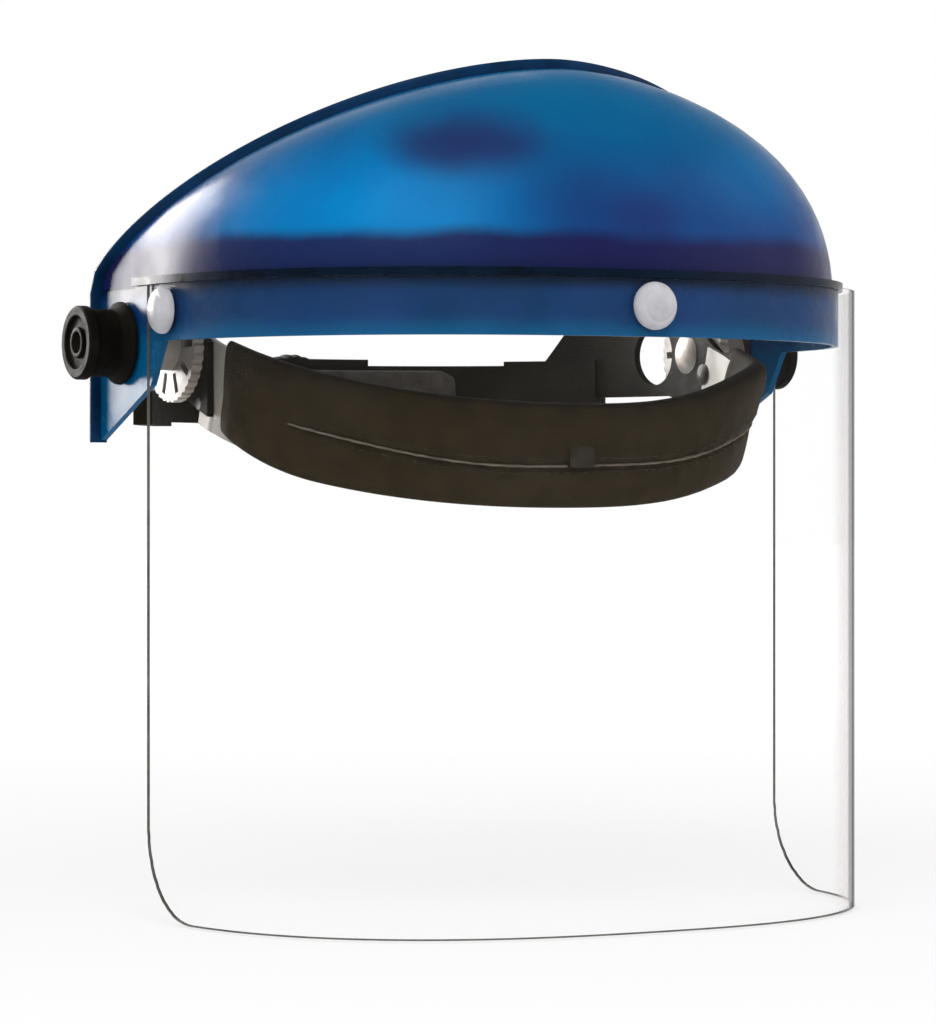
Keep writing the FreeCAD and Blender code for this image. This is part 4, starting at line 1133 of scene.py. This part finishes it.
def buildFloor():
    half = stage["floorSize"] / 2
    z = cadLow[2] - stage["floorDrop"]
    mesh = bpy.data.meshes.new("floor")
    corners = [(-half, -half, z), (half, -half, z), (half, half, z), (-half, half, z)]
    mesh.from_pydata(corners, [], [(0, 1, 2, 3)])
    floor = addObject("floor", mesh)
    material = bpy.data.materials.new("floorPale")
    material.use_nodes = True
    tree = material.node_tree
    tree.nodes.clear()
    matte = addNode(tree, "ShaderNodeBsdfDiffuse", {"Color": rgb([stage["floorWhite"]] * 3)})
    white = addNode(tree, "ShaderNodeEmission", {"Color": rgb([1, 1, 1]), "Strength": stage["floorGlow"]})
    place = tree.nodes.new("ShaderNodeTexCoord").outputs["Object"]
    away = vectorNode(tree, "LENGTH", {0: place})["Value"]
    fade = spread(tree, away, stage["cameraWhite"], 1.0, stage["fadeFrom"], stage["fadeTo"])
    share = mathNode(tree, "MULTIPLY", rayIsSeen(tree), fade)
    both = addNode(tree, "ShaderNodeMixShader", {0: share, 1: matte.outputs[0], 2: white.outputs[0]})
    out = tree.nodes.new("ShaderNodeOutputMaterial")
    tree.links.new(both.outputs[0], out.inputs["Surface"])
    mesh.materials.append(material)


def buildWorld():
    world = bpy.data.worlds.new("studio")
    scene.world = world
    world.use_nodes = True
    tree = world.node_tree
    back = tree.nodes["Background"]
    back.inputs["Color"].default_value = (1, 1, 1, 1)
    path = tree.nodes.new("ShaderNodeLightPath").outputs
    seen = mathNode(tree, "MAXIMUM", path["Is Camera Ray"], path["Is Transmission Ray"])
    plain = spread(tree, seen, stage["ambient"], 1.0, 0.0, 1.0)
    around = tree.nodes.new("ShaderNodeTexCoord").outputs["Generated"]
    height = addNode(tree, "ShaderNodeSeparateXYZ", {"Vector": around}).outputs["Z"]
    mirrored = spread(tree, height, 1.0, stage["overhead"], stage["overheadFrom"], stage["overheadTo"])
    strength = addNode(tree, "ShaderNodeMix", {0: path["Is Glossy Ray"], 2: plain, 3: mirrored})
    tree.links.new(strength.outputs[0], back.inputs["Strength"])


white, warm = (1.0, 1.0, 1.0), (1.0, 0.965, 0.93)
lamps = {
    "key": {"place": (-0.9, -1.2, 1.3), "size": (1.4, 1.4), "power": 20, "colour": white, "body": True},
    "fill": {"place": (1.3, -0.9, 0.6), "size": (1.2, 1.2), "power": 6, "colour": white, "body": True},
    "rear": {"place": (0.2, 1.4, 0.9), "size": (1.2, 1.2), "power": 3, "colour": white, "body": True},
    "flankSheen": {"place": (-0.50, 1.08, 0.37), "size": (0.62, 0.78), "power": 44, "colour": warm,
                   "body": False},
}
lampAim = Vector((0, -0.04, 0))


def buildLamps():
    for name, lamp in lamps.items():
        data = bpy.data.lights.new(name, "AREA")
        data.shape = "RECTANGLE"
        data.size, data.size_y = lamp["size"]
        data.energy = lamp["power"]
        data.color = lamp["colour"]
        obj = addObject(name, data)
        obj.location = lamp["place"]
        obj.visible_diffuse = lamp["body"]  # the sheen lamp shows only as gloss
        obj.rotation_euler = (lampAim - Vector(lamp["place"])).to_track_quat("-Z", "Y").to_euler()


cameraView = {"place": (-0.6674, -1.2247, -0.047), "aim": (0.48354, 0.87533, 0.0), "lens": 144.6,
              "sensor": 36.0, "rise": -0.0234}


def buildCamera():
    data = bpy.data.cameras.new("camera")
    data.lens = cameraView["lens"]
    data.sensor_width = cameraView["sensor"]
    data.sensor_fit = "AUTO"
    data.shift_y = cameraView["rise"]
    data.clip_start = 0.01
    camera = addObject("camera", data)
    camera.location = cameraView["place"]
    camera.rotation_euler = Vector(cameraView["aim"]).to_track_quat("-Z", "Y").to_euler()
    scene.camera = camera


buildFloor()
buildWorld()
buildLamps()
buildCamera()
scene.view_settings.view_transform = "Standard"
print("stage set")
